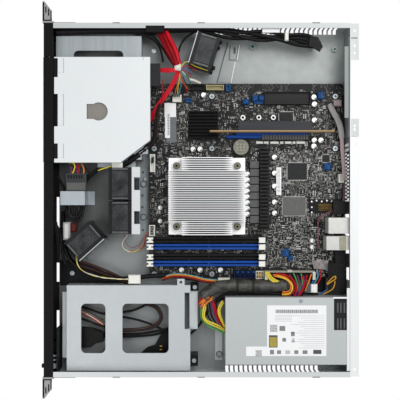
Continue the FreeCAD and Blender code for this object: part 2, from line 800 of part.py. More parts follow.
def fan_blade(tip, depth):
    """One twisted blade pointing along +X from the hub."""
    sections = []
    for x, pitch in ((fan_hub - 0.6, 52.0), (tip + 0.6, 34.0)):
        half = depth * 0.3
        corners = []
        for along, across in ((-half, -0.5), (half, -0.5), (half, 0.5), (-half, 0.5)):
            y = along * math.sin(math.radians(pitch)) + across * math.cos(math.radians(pitch))
            z = along * math.cos(math.radians(pitch)) - across * math.sin(math.radians(pitch))
            corners.append(vector(x, y - 1.5, z))
        sections.append(Part.makePolygon(corners + corners[:1]))
    blade = Part.makeLoft(sections, True, True)
    return blade.common(rod(tip, (0, -depth, 0), (0, depth, 0)))


def fan_rotor(size, depth):
    """Hub cup, blades and shaft, axis along Y."""
    tip = size / 2 - fan_wall - fan_tip_gap
    front = -depth / 2 + 1
    back = depth / 2 - fan_base - 0.8
    cup = rod(fan_hub, (0, front, 0), (0, back, 0))
    cup = cup.cut(rod(fan_hub - 1.4, (0, front + 2, 0), (0, back + 1, 0)))
    shaft = rod(fan_shaft, (0, front + 1, 0), (0, depth / 2 - 1.5, 0))
    blades = []
    for number in range(fan_blades):
        blade = fan_blade(tip, depth)
        blade.rotate(vector(0, 0, 0), vector(0, 1, 0), number * 360 / fan_blades)
        blades.append(blade)
    bare = rod(fan_hub - 1.0, (0, -depth, 0), (0, depth, 0))
    blades = [blade.cut(bare) for blade in blades]
    return join([cup, shaft] + blades)


def fan_spots():
    """Name, turn and middle of each chassis fan."""
    y = board_front - main_fan_gap - fan_depth / 2
    corner_x = right_drive_left - corner_fan_offset[0]
    return (("main_fan_left", 0.0, (fan_pair_x - main_fan_pitch / 2, y, fan_middle_z)),
            ("main_fan_right", 0.0, (fan_pair_x + main_fan_pitch / 2, y, fan_middle_z)),
            ("corner_fan", corner_fan_turn, (corner_x, front_y + corner_fan_offset[1], fan_middle_z)),
            ("side_fan", side_fan_turn,
             (-inner_x + side_fan_offset[0], board_front + side_fan_offset[1], fan_middle_z)))


def fan_wall_plate():
    """Pressed plate behind the main fans with round air openings."""
    face = board_front - main_fan_gap + seat_gap
    span = about(fan_pair_x, main_fan_pitch + fan_size + 0.4)
    plate = block(span, (face, face + sheet), (sheet, wall_plate_top))
    flange = block(span, (face, face + wall_plate_flange), (wall_plate_top - sheet, wall_plate_top))
    foot = block(span, (face, face + wall_plate_foot), (sheet, 2 * sheet))
    tools = []
    width, depth = wall_plate_notch
    for x in about(fan_pair_x, main_fan_pitch):
        tools.append(rod(fan_size / 2 - 2, (x, face - 1, fan_middle_z), (x, face + 2, fan_middle_z)))
        edge = face + wall_plate_flange
        tools.append(block(about(x, width), (edge - depth, edge + 1),
                           (wall_plate_top - 2 * sheet, wall_plate_top + 1)))
    return join([plate, flange, foot]).cut(tools)


def fan_stand(side):
    """Plate and foot beside a single fan, at the fan's own middle."""
    near = side * (fan_depth / 2 + seat_gap)
    far = near + side * fan_plate
    bottom = sheet - fan_middle_z
    plate = block(about(0, fan_size), (near, far), (bottom, fan_size / 2))
    foot = block(about(0, fan_size - 6), (near, far + side * fan_foot), (bottom, bottom + fan_plate))
    opening = rod(fan_size / 2 - 2, (0, near - side, 0), (0, far + side, 0))
    return join([plate, foot]).cut(opening)


def cable_bracket():
    """Bent cable shelf behind the bezel with a floor foot."""
    start = front_y + cable_bracket_reach[0]
    end = front_y + cable_bracket_reach[1]
    shelf = block(cable_bracket_span, (start, end), (cable_bracket_top - sheet, cable_bracket_top))
    legs = [block(cable_bracket_span, (start, start + sheet), (sheet, cable_bracket_top)),
            block(cable_bracket_span, (end - sheet, end), (sheet, cable_bracket_top))]
    foot = block(cable_bracket_span, (end - sheet, end + cable_bracket_foot), (sheet, 2 * sheet))
    return join([shelf, foot] + legs)


# Main board
def screw_spots():
    """Board screw points from the board's right and rear edges."""
    return [(row, column) for row in screw_rows for column in screw_columns if (row, column) != screw_skip()]


def screw_skip():
    """The board corner that has no screw."""
    return (screw_rows[2], screw_columns[2])


def motherboard():
    """Bare board with rounded corners and screw holes."""
    plate = block((board_left, board_right), (board_front, board_rear), (board_bottom, board_top))
    plate = round_upright(plate, board_corner)
    tools = []
    for spot in screw_spots():
        x, y, z = on_board(spot)
        tools.append(rod(screw_radius + 0.4, (x, y, board_bottom - 1), (x, y, z + 1)))
    return plate.cut(tools)


def board_fasteners():
    """Six-sided standoffs and pan-head screws."""
    solids = []
    for spot in screw_spots():
        x, y, z = on_board(spot)
        solids.append(many_sided((x, y, sheet), standoff_across / math.sqrt(3), up * standoff_height))
        shank = many_sided((x, y, board_bottom), screw_radius, up * board_thickness, 8)
        head = many_sided((x, y, z), screw_head_radius, up * screw_head_height, 12)
        solids.append(join([shank, head]))
    return solids


def processor_socket():
    """Socket frame with the processor package on it."""
    x, y, z = on_board(processor_spot)
    frame = block(about(x, socket_size), about(y, socket_size), (z, z + socket_height))
    frame = round_upright(frame, 2.0)
    top = z + socket_height
    package = block(about(x, processor_size), about(y, processor_size), (top, top + processor_height))
    return [frame, round_upright(package, 1.0)]


def sink_screw_spots():
    """Heatsink screw points in plan."""
    x, y, z = on_board(processor_spot)
    half = sink_screw_span / 2
    return [(x + across * half, y + along * half) for across in (-1, 1) for along in (-1, 1)]


def processor_sink():
    """Finned processor heatsink with four corner screw pockets."""
    x, y, z = on_board(processor_spot, socket_height + processor_height)
    sink = comb(sink_size, sink_size, sink_base, sink_top - z, sink_fin_count, sink_fin)
    sink.translate(vector(x, y, z))
    tools = []
    inside = sink_size / 2 - sink_pocket
    outside = sink_size / 2 + 1
    for across in (-1, 1):
        for along in (-1, 1):
            tools.append(block((x + across * inside, x + across * outside),
                               (y + along * inside, y + along * outside), (z + sink_base, sink_top + 1)))
    for spot in sink_screw_spots():
        tools.append(rod(sink_screw_radius + 0.5, (*spot, z - 1), (*spot, z + sink_base + 1)))
    return sink.cut(tools)


def sink_screws():
    """Sprung heatsink screws standing on the board."""
    rise = socket_height + processor_height + sink_base
    base = board_top + rise
    top = base + sink_spring_length
    solids = []
    for spot in sink_screw_spots():
        shank = many_sided((*spot, board_top), sink_screw_radius, up * rise, 8)
        spring = many_sided((*spot, base), sink_spring_radius, up * sink_spring_length, 12)
        head = many_sided((*spot, top), sink_head_radius, up * sink_head_height, 16)
        slot = block(about(spot[0], 1.2), about(spot[1], 6.0), (top + 1.6, top + sink_head_height + 1))
        solids.append(join([shank, spring, head]).cut(slot))
    return solids


def small_sink(spot, size, height, count, fin):
    """Finned heatsink standing on its chip."""
    x, y, z = on_board(spot, chip_height)
    sink = comb(size[0], size[1], 3.0, height, count, fin)
    sink.translate(vector(x, y, z))
    return sink


def chokes():
    """Row of square power chokes beside the processor."""
    solids = []
    for number in range(choke_count):
        from_right = choke_spot[0] + number * choke_pitch
        body = board_block(from_right, choke_spot[1], *choke_size)
        solids.append(body.makeChamfer(0.8, upright_edges(body)))
    return solids


def capacitors():
    """Round capacitor cans standing on the board."""
    from_right, from_rear, pitch = can_row
    spots = [(from_right + number * pitch, from_rear) for number in range(can_row_count)]
    solids = []
    for spot in spots + list(can_spots):
        x, y, z = on_board(spot)
        solids.append(many_sided((x, y, z), can_radius, up * can_height, 12))
    return solids


def battery_holder():
    """Open ring that carries the coin cell."""
    x, y, z = on_board(cell_spot)
    outer = rod(cell_radius + holder_wall, (x, y, z), (x, y, z + holder_height + 2))
    bore = rod(cell_radius + seat_gap, (x, y, z + holder_height - seat_gap), (x, y, z + holder_height + 3))
    gap = block(about(x, 9.0), (y + 5, y + cell_radius + 5), (z + holder_height, z + holder_height + 3))
    return outer.cut([bore, gap])


def coin_cell():
    """Coin cell in the holder."""
    x, y, z = on_board(cell_spot, holder_height - seat_gap)
    cell = rod(cell_radius, (x, y, z), (x, y, z + cell_height))
    return cell.makeChamfer(0.4, [edge for edge in cell.Edges if edge.BoundBox.ZLength < 0.01])


# Memory
def memory_slot():
    """Memory slot with latch cheeks at both ends, standing at z = 0."""
    half = slot_length / 2
    bar = block(about(0, slot_width), (-half, half), (0, slot_height))
    solids = [bar]
    tools = [block(about(0, slot_groove), (-half - 1, slot_key - 1), (slot_floor, slot_height + 1)),
             block(about(0, slot_groove), (slot_key + 1, half + 1), (slot_floor, slot_height + 1))]
    for end in (-1, 1):
        reach = (end * half, end * (half + latch_length))
        pivot = end * (half + latch_length / 2)
        solids.append(block(about(0, slot_width), reach, (0, slot_base)))
        for side in (-1, 1):
            cheek = (side * slot_width / 2, side * (slot_width / 2 - slot_cheek))
            solids.append(block(cheek, reach, (0, slot_cheek_height)))
        tools.append(rod(latch_pin_radius + running_gap, (-slot_width, pivot, latch_pivot_height),
                         (slot_width, pivot, latch_pivot_height)))
    return join(solids).cut(tools)


def memory_latch(end):
    """Latch about its own pivot, leaning outwards along end * Y."""
    half = latch_length / 2 - 0.2
    rise = latch_head_base - latch_pivot_height
    top = latch_head_top - latch_pivot_height
    width = about(0, latch_stem_width)
    foot = rod(latch_stem_radius, (width[0], 0, 0), (width[1], 0, 0))
    stem = block(width, (-latch_stem_radius, latch_stem_radius), (0, rise))
    head = block(about(0, slot_width - 0.2), (-half, half), (rise, top))
    pin = rod(latch_pin_radius, (-slot_width / 2 + 0.1, 0, 0), (slot_width / 2 - 0.1, 0, 0))
    grip = block(about(0, 2.6), (end * (half - 2.2), end * (half + 1)), (rise - 1, top + 1))
    throat = block(about(0, slot_groove + 0.4), (-end * (half + 1), -end * (half - 2.6)), (rise - 1, top + 1))
    return join([foot, stem, head, pin]).cut([grip, throat])


def memory_place(row):
    """Point on the board under the middle of one memory slot."""
    return on_board((row, memory_middle))


def latch_place(row, end):
    """Pivot point of one latch."""
    x, y, z = memory_place(row)
    return (x, y + end * (slot_length + latch_length) / 2, z + latch_pivot_height)


# Cards and connectors
def card_slot(width, length, height):
    """Card slot standing at z = 0 with its groove on top."""
    bar = block(about(0, width), about(0, length), (0, height))
    groove = block(about(0, riser_thickness + 2 * plug_gap), about(0, length - 3), (height - 8.0, height + 1))
    return bar.cut(groove)


def board_slot():
    """Card slot on the board, under the riser."""
    x, y, z = on_board((riser_row, riser_tongue_rear + riser_tongue / 2))
    return placed(card_slot(card_slot_width, card_slot_length, card_slot_height), 0, (x, y, z))


def riser_card():
    """Upright riser card with its sideways card slot."""
    x, rear, z = on_board((riser_row, riser_rear))
    tongue_rear = board_rear - riser_tongue_rear
    card = block(about(x, riser_thickness), (rear - riser_length, rear), (riser_base, riser_top))
    bottom = z + card_slot_height - 7.6
    tongue = block(about(x, riser_thickness), (tongue_rear - riser_tongue, tongue_rear),
                   (bottom, riser_base + 1))
    slot = card_slot(card_slot_width, card_slot_length, card_slot_height)
    slot.rotate(vector(0, 0, 0), vector(0, 1, 0), -90)
    middle = board_rear - riser_slot_rear - card_slot_length / 2
    height = riser_top - riser_slot_drop - card_slot_width / 2
    slot.translate(vector(x - riser_thickness / 2, middle, height))
    return [join([card, tongue]), slot]


def main_power_plug():
    """Main power plug with a row of wire holes and a side catch."""
    plug = board_block(*main_plug)
    x, y, z = on_board(main_plug[:2])
    catch = block((x - main_plug[2] / 2 - 1.6, x - main_plug[2] / 2), about(y, 6.0), (z + 4, z + 18))
    return join([plug, catch])


def open_plug():
    """Empty processor power socket with pin wells."""
    body = board_block(*cpu_plug)
    x, y, z = on_board(cpu_plug[:2], cpu_plug[4])
    wells = []
    for across in (-2.2, 2.2):
        for along in (-3.0, 0.0, 3.0):
            wells.append(block(about(x + across, 3.2), about(y + along, 2.2), (z - 8, z + 1)))
    return body.cut(wells)


def sata_ports():
    """Row of data ports at the board edge."""
    solids = []
    width, length, height = sata_size
    for number in range(sata_count):
        spot = (sata_first[0], sata_first[1] + number * sata_pitch)
        body = board_block(*spot, width, length, height)
        x, y, z = on_board(spot, height)
        mouth = block(about(x, width - 1.6), about(y, length - 2.4), (z - 5, z + 1))
        tongue = block(about(x - 0.6, width - 3.6), about(y, 1.2), (z - 6, z - 0.6))
        solids.append(join([body.cut(mouth), tongue]))
    return solids


def headers():
    """Pin headers and low sockets, each with an open well."""
    solids = []
    for from_right, from_rear, width, length, height in header_blocks:
        body = board_block(from_right, from_rear, width, length, height)
        x, y, z = on_board((from_right, from_rear), height)
        well = block(about(x, width - 2), about(y, length - 2), (z - height * 0.6, z + 1))
        solids.append(body.cut(well))
    return solids


def jack_stack(from_right, width, front, rear, height):
    """Network jack over two bus sockets, mouths to the rear."""
    x = board_right - from_right
    rear += board_rear
    body = block(about(x, width), (board_rear + front, rear), (board_top, board_top + height))
    jack_width, jack_height, jack_depth = jack_mouth
    bus_width, bus_height, bus_depth = bus_mouth
    top = board_top + height - 2.2
    tools = [block(about(x, jack_width), (rear - jack_depth, rear + 1), (top - jack_height, top))]
    tongues = []
    for z in (board_top + 1.6, board_top + 9.0):
        tools.append(block(about(x, bus_width), (rear - bus_depth, rear + 1), (z, z + bus_height)))
        tongues.append(block(about(x, bus_width - 2), (rear - bus_depth - 1, rear - 1.5),
                             (z + bus_height - bus_tongue - 0.8, z + bus_height - 0.8)))
    return join([body.cut(tools)] + tongues)


def rear_ports():
    """Network and bus stacks, a bus block and the video port."""
    solids = [jack_stack(*stack) for stack in jack_stacks]
    from_right, width, front, rear, height = port_block
    x = board_right - from_right
    rear += board_rear
    body = block(about(x, width), (board_rear + front, rear), (board_top, board_top + height))
    bus_width, bus_height, bus_depth = bus_mouth
    tools = []
    tongues = []
    for z in (board_top + 1.4, board_top + 8.4):
        tools.append(block(about(x, bus_width), (rear - bus_depth, rear + 1), (z, z + bus_height)))
        tongues.append(block(about(x, bus_width - 2), (rear - bus_depth - 1, rear - 1.5),
                             (z + bus_height - bus_tongue - 0.8, z + bus_height - 0.8)))
    solids.append(join([body.cut(tools)] + tongues))
    from_right, width, front, rear, height = video_port
    x = board_right - from_right
    rear += board_rear
    base = block(about(x, width), (board_rear + front, rear - 3), (board_top, board_top + height))
    middle = board_top + height / 2
    shell = block(about(x, 17.0), (rear - 3, rear + 2.6), about(middle, 8.4))
    recess = block(about(x, 17.0 - 2 * video_lip), (rear + 1.0, rear + 4), about(middle, 8.4 - 2 * video_lip))
    solids.append(join([base, shell]).cut(recess))
    return solids


# Power supply
def supply_fan_spot():
    """Middle of the supply fan."""
    inset = supply_skin + seat_gap + supply_fan_size / 2
    return (supply_left + inset, rear_inner - sheet - supply_fan_depth / 2, supply_bottom + inset)


def inlet_spot():
    """Middle of the mains inlet on the supply's rear face."""
    return (supply_right - 8.0 - inlet_width / 2, rear_inner, supply_bottom + supply_height / 2)


def supply_case():
    """Power supply housing with its fan pocket and inlet pocket."""
    body = block((supply_left, supply_right), (supply_front, rear_inner), (supply_bottom, supply_top))
    x, y, z = supply_fan_spot()
    half = supply_fan_size / 2 + seat_gap
    front = y - supply_fan_depth / 2 - seat_gap
    tools = [block((x - half, x + half), (front, rear_inner + 1), (z - half, supply_top + 1))]
    tools.append(rod(supply_fan_size / 2 - 2, (x, front - 12, z), (x, front + 1, z)))
    x, y, z = inlet_spot()
    tools.append(block(about(x, inlet_width + 2 * plug_gap), (y - inlet_depth, y + 1),
                       about(z, inlet_height + 2 * plug_gap)))
    for number in range(7):
        x = supply_left + 12.0 + number * 3.6
        tools.append(block((x, x + 1.8), (supply_front - 1, supply_front + 1.2),
                           (supply_bottom + 6, supply_top - 6)))
    return body.cut(tools)


def power_inlet():
    """Mains inlet with three blades in an open socket."""
    x, y, z = inlet_spot()
    body = block(about(x, inlet_width), (y - inlet_depth, y), about(z, inlet_height))
    socket = block(about(x, inlet_width - 2 * inlet_wall), (y - inlet_socket_depth, y + 1),
                   about(z, inlet_height - 2 * inlet_wall))
    blades = []
    floor = y - inlet_socket_depth
    for across, rise in ((-7.0, -1.5), (7.0, -1.5), (0.0, 2.5)):
        blades.append(block(about(x + across, 2.0), (floor - 1, floor + inlet_pin_length),
                            about(z + rise, 4.0)))
    return join([body.cut(socket)] + blades)


# Cables
def black_cables():
    """Wall cable, its clip, the thin cable beyond it and its plug, and the panel cable."""
    wall = (-inner_x, front_y)
    x, y, z = wall_cable_route[-1]
    span = (front_y + y, front_y + y + clip_size[1])
    clip = block((-inner_x, clip_size[0] - inner_x), span, about(z + 2.5, clip_size[2]))
    cap = block((clip_cap[0] - inner_x, clip_size[0] - inner_x), span, (z, clip_cap[1]))
    x, y, z = thin_cable_route[-1]
    plug = block(about(x - inner_x, 8.0), (front_y + y, front_y + y + 8.0), about(z, 12.0))
    return [tube("wall cable", wall_cable_route, wall, wall_cable_diameter), join([clip, cap]),
            tube("thin cable", thin_cable_route, wall, thin_cable_diameter), plug,
            tube("panel cable", panel_cable_route, (right_drive_left, front_y), panel_cable_diameter)]


def data_cables():
    """Data cables from the clip through the tie to both drives."""
    wall = (-inner_x, front_y)
    x, y, z = tie_spot
    tie = block(about(x - inner_x, tie_size[0]), about(front_y + y, tie_size[1]), about(z, tie_size[2]))
    return [tube("cable bundle", bundle_route, wall, data_cable_diameter), tie,
            tube("data cable", data_route, wall, data_cable_diameter),
            tube("drive cable", drive_route, wall, data_cable_diameter)]


def thin_leads():
    """Lead of the main fans and lead along the rear of the board."""
    return [tube("main fan lead", main_lead_route, (fan_pair_x, board_front), lead_diameter),
            tube("rear lead", rear_lead_route, (board_right, board_rear), lead_diameter)]


def build():
    """Make every piece and write its file."""
    save("chassis_floor", [chassis_floor()])
    save("side_wall_left", [side_wall(-1)])
    save("side_wall_right", [side_wall(1)])
    save("rear_panel", [rear_panel()])
    save("slot_cover", [slot_cover()])
    save("front_bezel", [front_bezel()])
    save("rack_ear_left", [rack_ear(-1)])
    save("rack_ear_right", [rack_ear(1)])
    save("power_button", [power_button()])
    save("front_io_board", front_board())
    cage = drive_bracket()
    save("drive_bracket_right", [placed(cage, 0, (right_drive_left, front_y + right_drive_front, 0))])
    save("drive_bracket_left", [placed(cage, -90, (-inner_x + left_drive_gap,
                                                   front_y + left_drive_front + drive_width, 0))])
    save("optical_drive_case", disc_case())
    save("optical_drive_tray", [disc_tray()])
    save("optical_drive_face", [disc_face_plate()])
    save("eject_button", [eject_button()])
    frame = fan_frame(fan_size, fan_depth)
    rotor = fan_rotor(fan_size, fan_depth)
    stands = {"corner_fan": 1, "side_fan": -1}
    for name, turn, spot in fan_spots():
        save(name + "_frame", [placed(frame, turn, spot)])
        save(name + "_rotor", [placed(rotor, turn, spot)])
        if name in stands:
            save(name + "_stand", [placed(fan_stand(stands[name]), turn, spot)])
    save("fan_wall_plate", [fan_wall_plate()])
    save("cable_bracket", [cable_bracket()])
    save("motherboard", [motherboard()])
    save("board_fasteners", board_fasteners())
    save("processor_socket", processor_socket())
    save("processor_heatsink", [processor_sink()])
    save("heatsink_screws", sink_screws())
    save("chipset_heatsink", [small_sink(chipset_spot, chipset_size, chipset_sink_height, 9, 1.6)])
    save("regulator_heatsink", [small_sink(regulator_spot, regulator_size, regulator_sink_height, 24, 1.5)])
    save("chokes", chokes())
    save("capacitors", capacitors())
    save("chips", [board_block(*chip, chip_height) for chip in chip_blocks])
    save("coin_cell", [coin_cell()])
    slot = memory_slot()
    save("memory_slots", [placed(slot, 0, memory_place(row)) for row in memory_rows])
    for number, row in enumerate(memory_rows):
        for label, end in (("front", -1), ("rear", 1)):
            latch = placed(memory_latch(end), 0, latch_place(row, end))
            save("memory_latch_" + label + "_" + str(number + 1), [latch])
    save("board_slot", [board_slot()])
    save("riser_card", riser_card())
    save("board_connectors", [main_power_plug(), open_plug(), battery_holder()] + sata_ports() + headers())
    save("rear_ports", rear_ports())
    save("supply_case", [supply_case()])
    save("power_inlet", [power_inlet()])
    save("supply_fan_frame", [placed(fan_frame(supply_fan_size, supply_fan_depth), 0, supply_fan_spot())])
    save("supply_fan_rotor", [placed(fan_rotor(supply_fan_size, supply_fan_depth), 0, supply_fan_spot())])
    save("power_loom", [tube("power loom", loom_route, (board_right, supply_front), loom_diameter)])
    save("black_cables", black_cables())
    save("data_cables", data_cables())
    save("thin_leads", thin_leads())


build()
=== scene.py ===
import math
import random
import bmesh
import bpy
import numpy
from mathutils import Matrix, Vector


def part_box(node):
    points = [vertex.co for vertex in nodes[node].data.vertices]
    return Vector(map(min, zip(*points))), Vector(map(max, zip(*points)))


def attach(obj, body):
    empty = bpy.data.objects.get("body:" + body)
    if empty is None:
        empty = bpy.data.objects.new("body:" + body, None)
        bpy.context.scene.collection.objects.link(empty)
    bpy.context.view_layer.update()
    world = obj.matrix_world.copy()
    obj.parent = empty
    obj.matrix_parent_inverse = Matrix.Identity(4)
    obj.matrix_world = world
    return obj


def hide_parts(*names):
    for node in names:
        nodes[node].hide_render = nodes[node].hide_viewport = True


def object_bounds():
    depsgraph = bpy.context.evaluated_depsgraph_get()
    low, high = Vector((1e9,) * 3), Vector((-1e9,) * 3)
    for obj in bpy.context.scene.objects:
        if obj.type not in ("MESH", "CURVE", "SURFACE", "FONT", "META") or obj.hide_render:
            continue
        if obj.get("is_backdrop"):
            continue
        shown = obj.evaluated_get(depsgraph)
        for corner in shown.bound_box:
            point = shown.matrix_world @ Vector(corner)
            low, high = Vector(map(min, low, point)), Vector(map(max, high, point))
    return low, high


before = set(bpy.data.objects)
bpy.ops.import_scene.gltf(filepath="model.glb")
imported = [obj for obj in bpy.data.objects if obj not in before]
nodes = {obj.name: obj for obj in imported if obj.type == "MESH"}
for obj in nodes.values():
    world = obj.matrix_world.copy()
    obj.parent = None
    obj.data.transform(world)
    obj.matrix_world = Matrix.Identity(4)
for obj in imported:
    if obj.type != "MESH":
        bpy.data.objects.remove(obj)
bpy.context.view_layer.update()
scene = bpy.context.scene
print("stage: frame loaded,", len(nodes), "nodes")


def rgb(red, green, blue):  # screen values 0-255 to linear
    parts = (red / 255, green / 255, blue / 255)
    return tuple(c / 12.92 if c < 0.04 else ((c + 0.055) / 1.055) ** 2.4 for c in parts)


def addNode(tree, kind, **values):
    node = tree.nodes.new("ShaderNode" + kind)
    for label, value in values.items():
        setattr(node, label, value)
    return node


def setInputs(node, values):
    for label, value in values.items():
        node.inputs[label].default_value = value


def newGroup(name, inputs, outputs):  # gives the tree, its sockets and the object's own coordinates
    tree = bpy.data.node_groups.new(name, "ShaderNodeTree")
    for label, value in inputs.items():
        kind = "Float" if isinstance(value, float) else "Vector" if len(value) == 3 else "Color"
        socket = tree.interface.new_socket(label, in_out="INPUT", socket_type="NodeSocket" + kind)
        socket.default_value = value
    for label in outputs:
        kind = "Color" if label == "Color" else "Float"
        tree.interface.new_socket(label, in_out="OUTPUT", socket_type="NodeSocket" + kind)
    source = tree.nodes.new("NodeGroupInput").outputs
    result = tree.nodes.new("NodeGroupOutput").inputs
    return tree, source, result, addNode(tree, "TexCoord").outputs["Object"]


def mathNode(tree, operation, first, second):
    node = addNode(tree, "Math", operation=operation)
    for index, value in enumerate((first, second)):
        if isinstance(value, (int, float)):
            node.inputs[index].default_value = value
        else:
            tree.links.new(value, node.inputs[index])
    return node.outputs[0]


def mixNode(tree, factor, first, second):
    node = addNode(tree, "Mix", data_type="RGBA")
    tree.links.new(factor, node.inputs["Factor"])
    for socket, value in ((node.inputs[6], first), (node.inputs[7], second)):
        if isinstance(value, tuple):
            socket.default_value = (*value, 1)
        else:
            tree.links.new(value, socket)
    return node.outputs[2]


def noiseNode(tree, coordinates, scale):
    noise = addNode(tree, "TexNoise")
    setInputs(noise, {"Scale": scale})
    tree.links.new(coordinates, noise.inputs["Vector"])
    return noise.outputs["Fac"]


grainLayers = [(1.0, 3.0, 0.65), (7.0, 2.0, 0.35)]  # scale factor, detail and share of each noise


def buildGrain():  # two noise sizes blend two colors and two roughness values
    tree, source, result, coordinates = newGroup("surfaceGrain", {
        "Color A": (0.5, 0.5, 0.5, 1), "Color B": (0.4, 0.4, 0.4, 1), "Scale": 60.0, "Stretch": (1, 1, 1),
        "Spread": 0.25, "Rough Low": 0.3, "Rough High": 0.5}, ["Color", "Roughness", "Height"])
    stretch = addNode(tree, "VectorMath", operation="MULTIPLY")
    tree.links.new(coordinates, stretch.inputs[0])
    tree.links.new(source["Stretch"], stretch.inputs[1])
    layers = []
    for factor, detail, share in grainLayers:
        noise = addNode(tree, "TexNoise")
        setInputs(noise, {"Detail": detail})
        tree.links.new(stretch.outputs[0], noise.inputs["Vector"])
        tree.links.new(mathNode(tree, "MULTIPLY", source["Scale"], factor), noise.inputs["Scale"])
        layers.append(mathNode(tree, "MULTIPLY", noise.outputs["Fac"], share))
    spread = addNode(tree, "MapRange")
    tree.links.new(mathNode(tree, "ADD", *layers), spread.inputs["Value"])
    tree.links.new(mathNode(tree, "SUBTRACT", 0.5, source["Spread"]), spread.inputs["From Min"])
    tree.links.new(mathNode(tree, "ADD", 0.5, source["Spread"]), spread.inputs["From Max"])
    blend = spread.outputs["Result"]
    tree.links.new(mixNode(tree, blend, source["Color A"], source["Color B"]), result["Color"])
    rough = addNode(tree, "MapRange")
    tree.links.new(blend, rough.inputs["Value"])
    tree.links.new(source["Rough Low"], rough.inputs["To Min"])
    tree.links.new(source["Rough High"], rough.inputs["To Max"])
    tree.links.new(rough.outputs["Result"], result["Roughness"])
    tree.links.new(blend, result["Height"])
    return tree


markShape = {"size": 0.3, "waves": 150.0, "bend": 3.0, "trace": 0.6, "patches": 55.0, "busy": 0.47}


def buildMarks():  # small square marks and fine diagonal lines on a flat color
    tree, source, result, coordinates = newGroup("boardMarks", {
        "Base": (0.02, 0.02, 0.02, 1), "Line": (0.05, 0.05, 0.05, 1), "Mark": (0.4, 0.4, 0.4, 1),
        "Scale": 950.0, "Share": 0.7}, ["Color", "Height"])
    cells = addNode(tree, "TexVoronoi", distance="CHEBYCHEV")
    tree.links.new(coordinates, cells.inputs["Vector"])
    tree.links.new(source["Scale"], cells.inputs["Scale"])
    picked = addNode(tree, "SeparateColor")
    tree.links.new(cells.outputs["Color"], picked.inputs["Color"])
    chosen = mathNode(tree, "GREATER_THAN", picked.outputs[0], source["Share"])
    inside = mathNode(tree, "LESS_THAN", cells.outputs["Distance"], markShape["size"])
    lines = addNode(tree, "TexWave", bands_direction="DIAGONAL")
    setInputs(lines, {"Scale": markShape["waves"], "Distortion": markShape["bend"]})
    tree.links.new(coordinates, lines.inputs["Vector"])
    patches = noiseNode(tree, coordinates, markShape["patches"])
    busy = mathNode(tree, "GREATER_THAN", patches, markShape["busy"])
    drawn = mathNode(tree, "GREATER_THAN", lines.outputs["Fac"], markShape["trace"])
    traced = mathNode(tree, "MULTIPLY", drawn, busy)
    ground = mixNode(tree, traced, source["Base"], source["Line"])
    marked = mathNode(tree, "MULTIPLY", mathNode(tree, "MULTIPLY", chosen, inside), busy)
    tree.links.new(mixNode(tree, marked, ground, source["Mark"]), result["Color"])
    tree.links.new(mathNode(tree, "MAXIMUM", traced, marked), result["Height"])
    return tree


weaveShape = {"turns": [(0.3, 0.2, 0.8), (0.3, 0.2, -0.8)], "patches": 130.0, "worn": (0.36, 0.62)}


def buildWeave():  # crossed diagonal waves for braided sleeves
    tree, source, result, coordinates = newGroup("braidWeave", {
        "High": (0.1, 0.1, 0.1, 1), "Low": (0.01, 0.01, 0.01, 1), "Scale": 220.0}, ["Color", "Height"])
    waves = []
    for turn in weaveShape["turns"]:
        spin = addNode(tree, "Mapping")
        setInputs(spin, {"Rotation": turn})
        tree.links.new(coordinates, spin.inputs["Vector"])
        wave = addNode(tree, "TexWave")
        tree.links.new(spin.outputs["Vector"], wave.inputs["Vector"])
        tree.links.new(source["Scale"], wave.inputs["Scale"])
        waves.append(wave.outputs["Fac"])
    worn = addNode(tree, "MapRange")
    tree.links.new(noiseNode(tree, coordinates, weaveShape["patches"]), worn.inputs["Value"])
    worn.inputs["From Min"].default_value, worn.inputs["From Max"].default_value = weaveShape["worn"]
    crossed = mathNode(tree, "MULTIPLY", *waves)
    both = mathNode(tree, "MULTIPLY", crossed, worn.outputs["Result"])
    tree.links.new(mixNode(tree, both, source["Low"], source["High"]), result["Color"])
    tree.links.new(both, result["Height"])
    return tree


grainGroup = buildGrain()
marksGroup = buildMarks()
weaveGroup = buildWeave()
along = {"x": (0.04, 1, 1), "y": (1, 0.04, 1), "none": (1, 1, 1)}

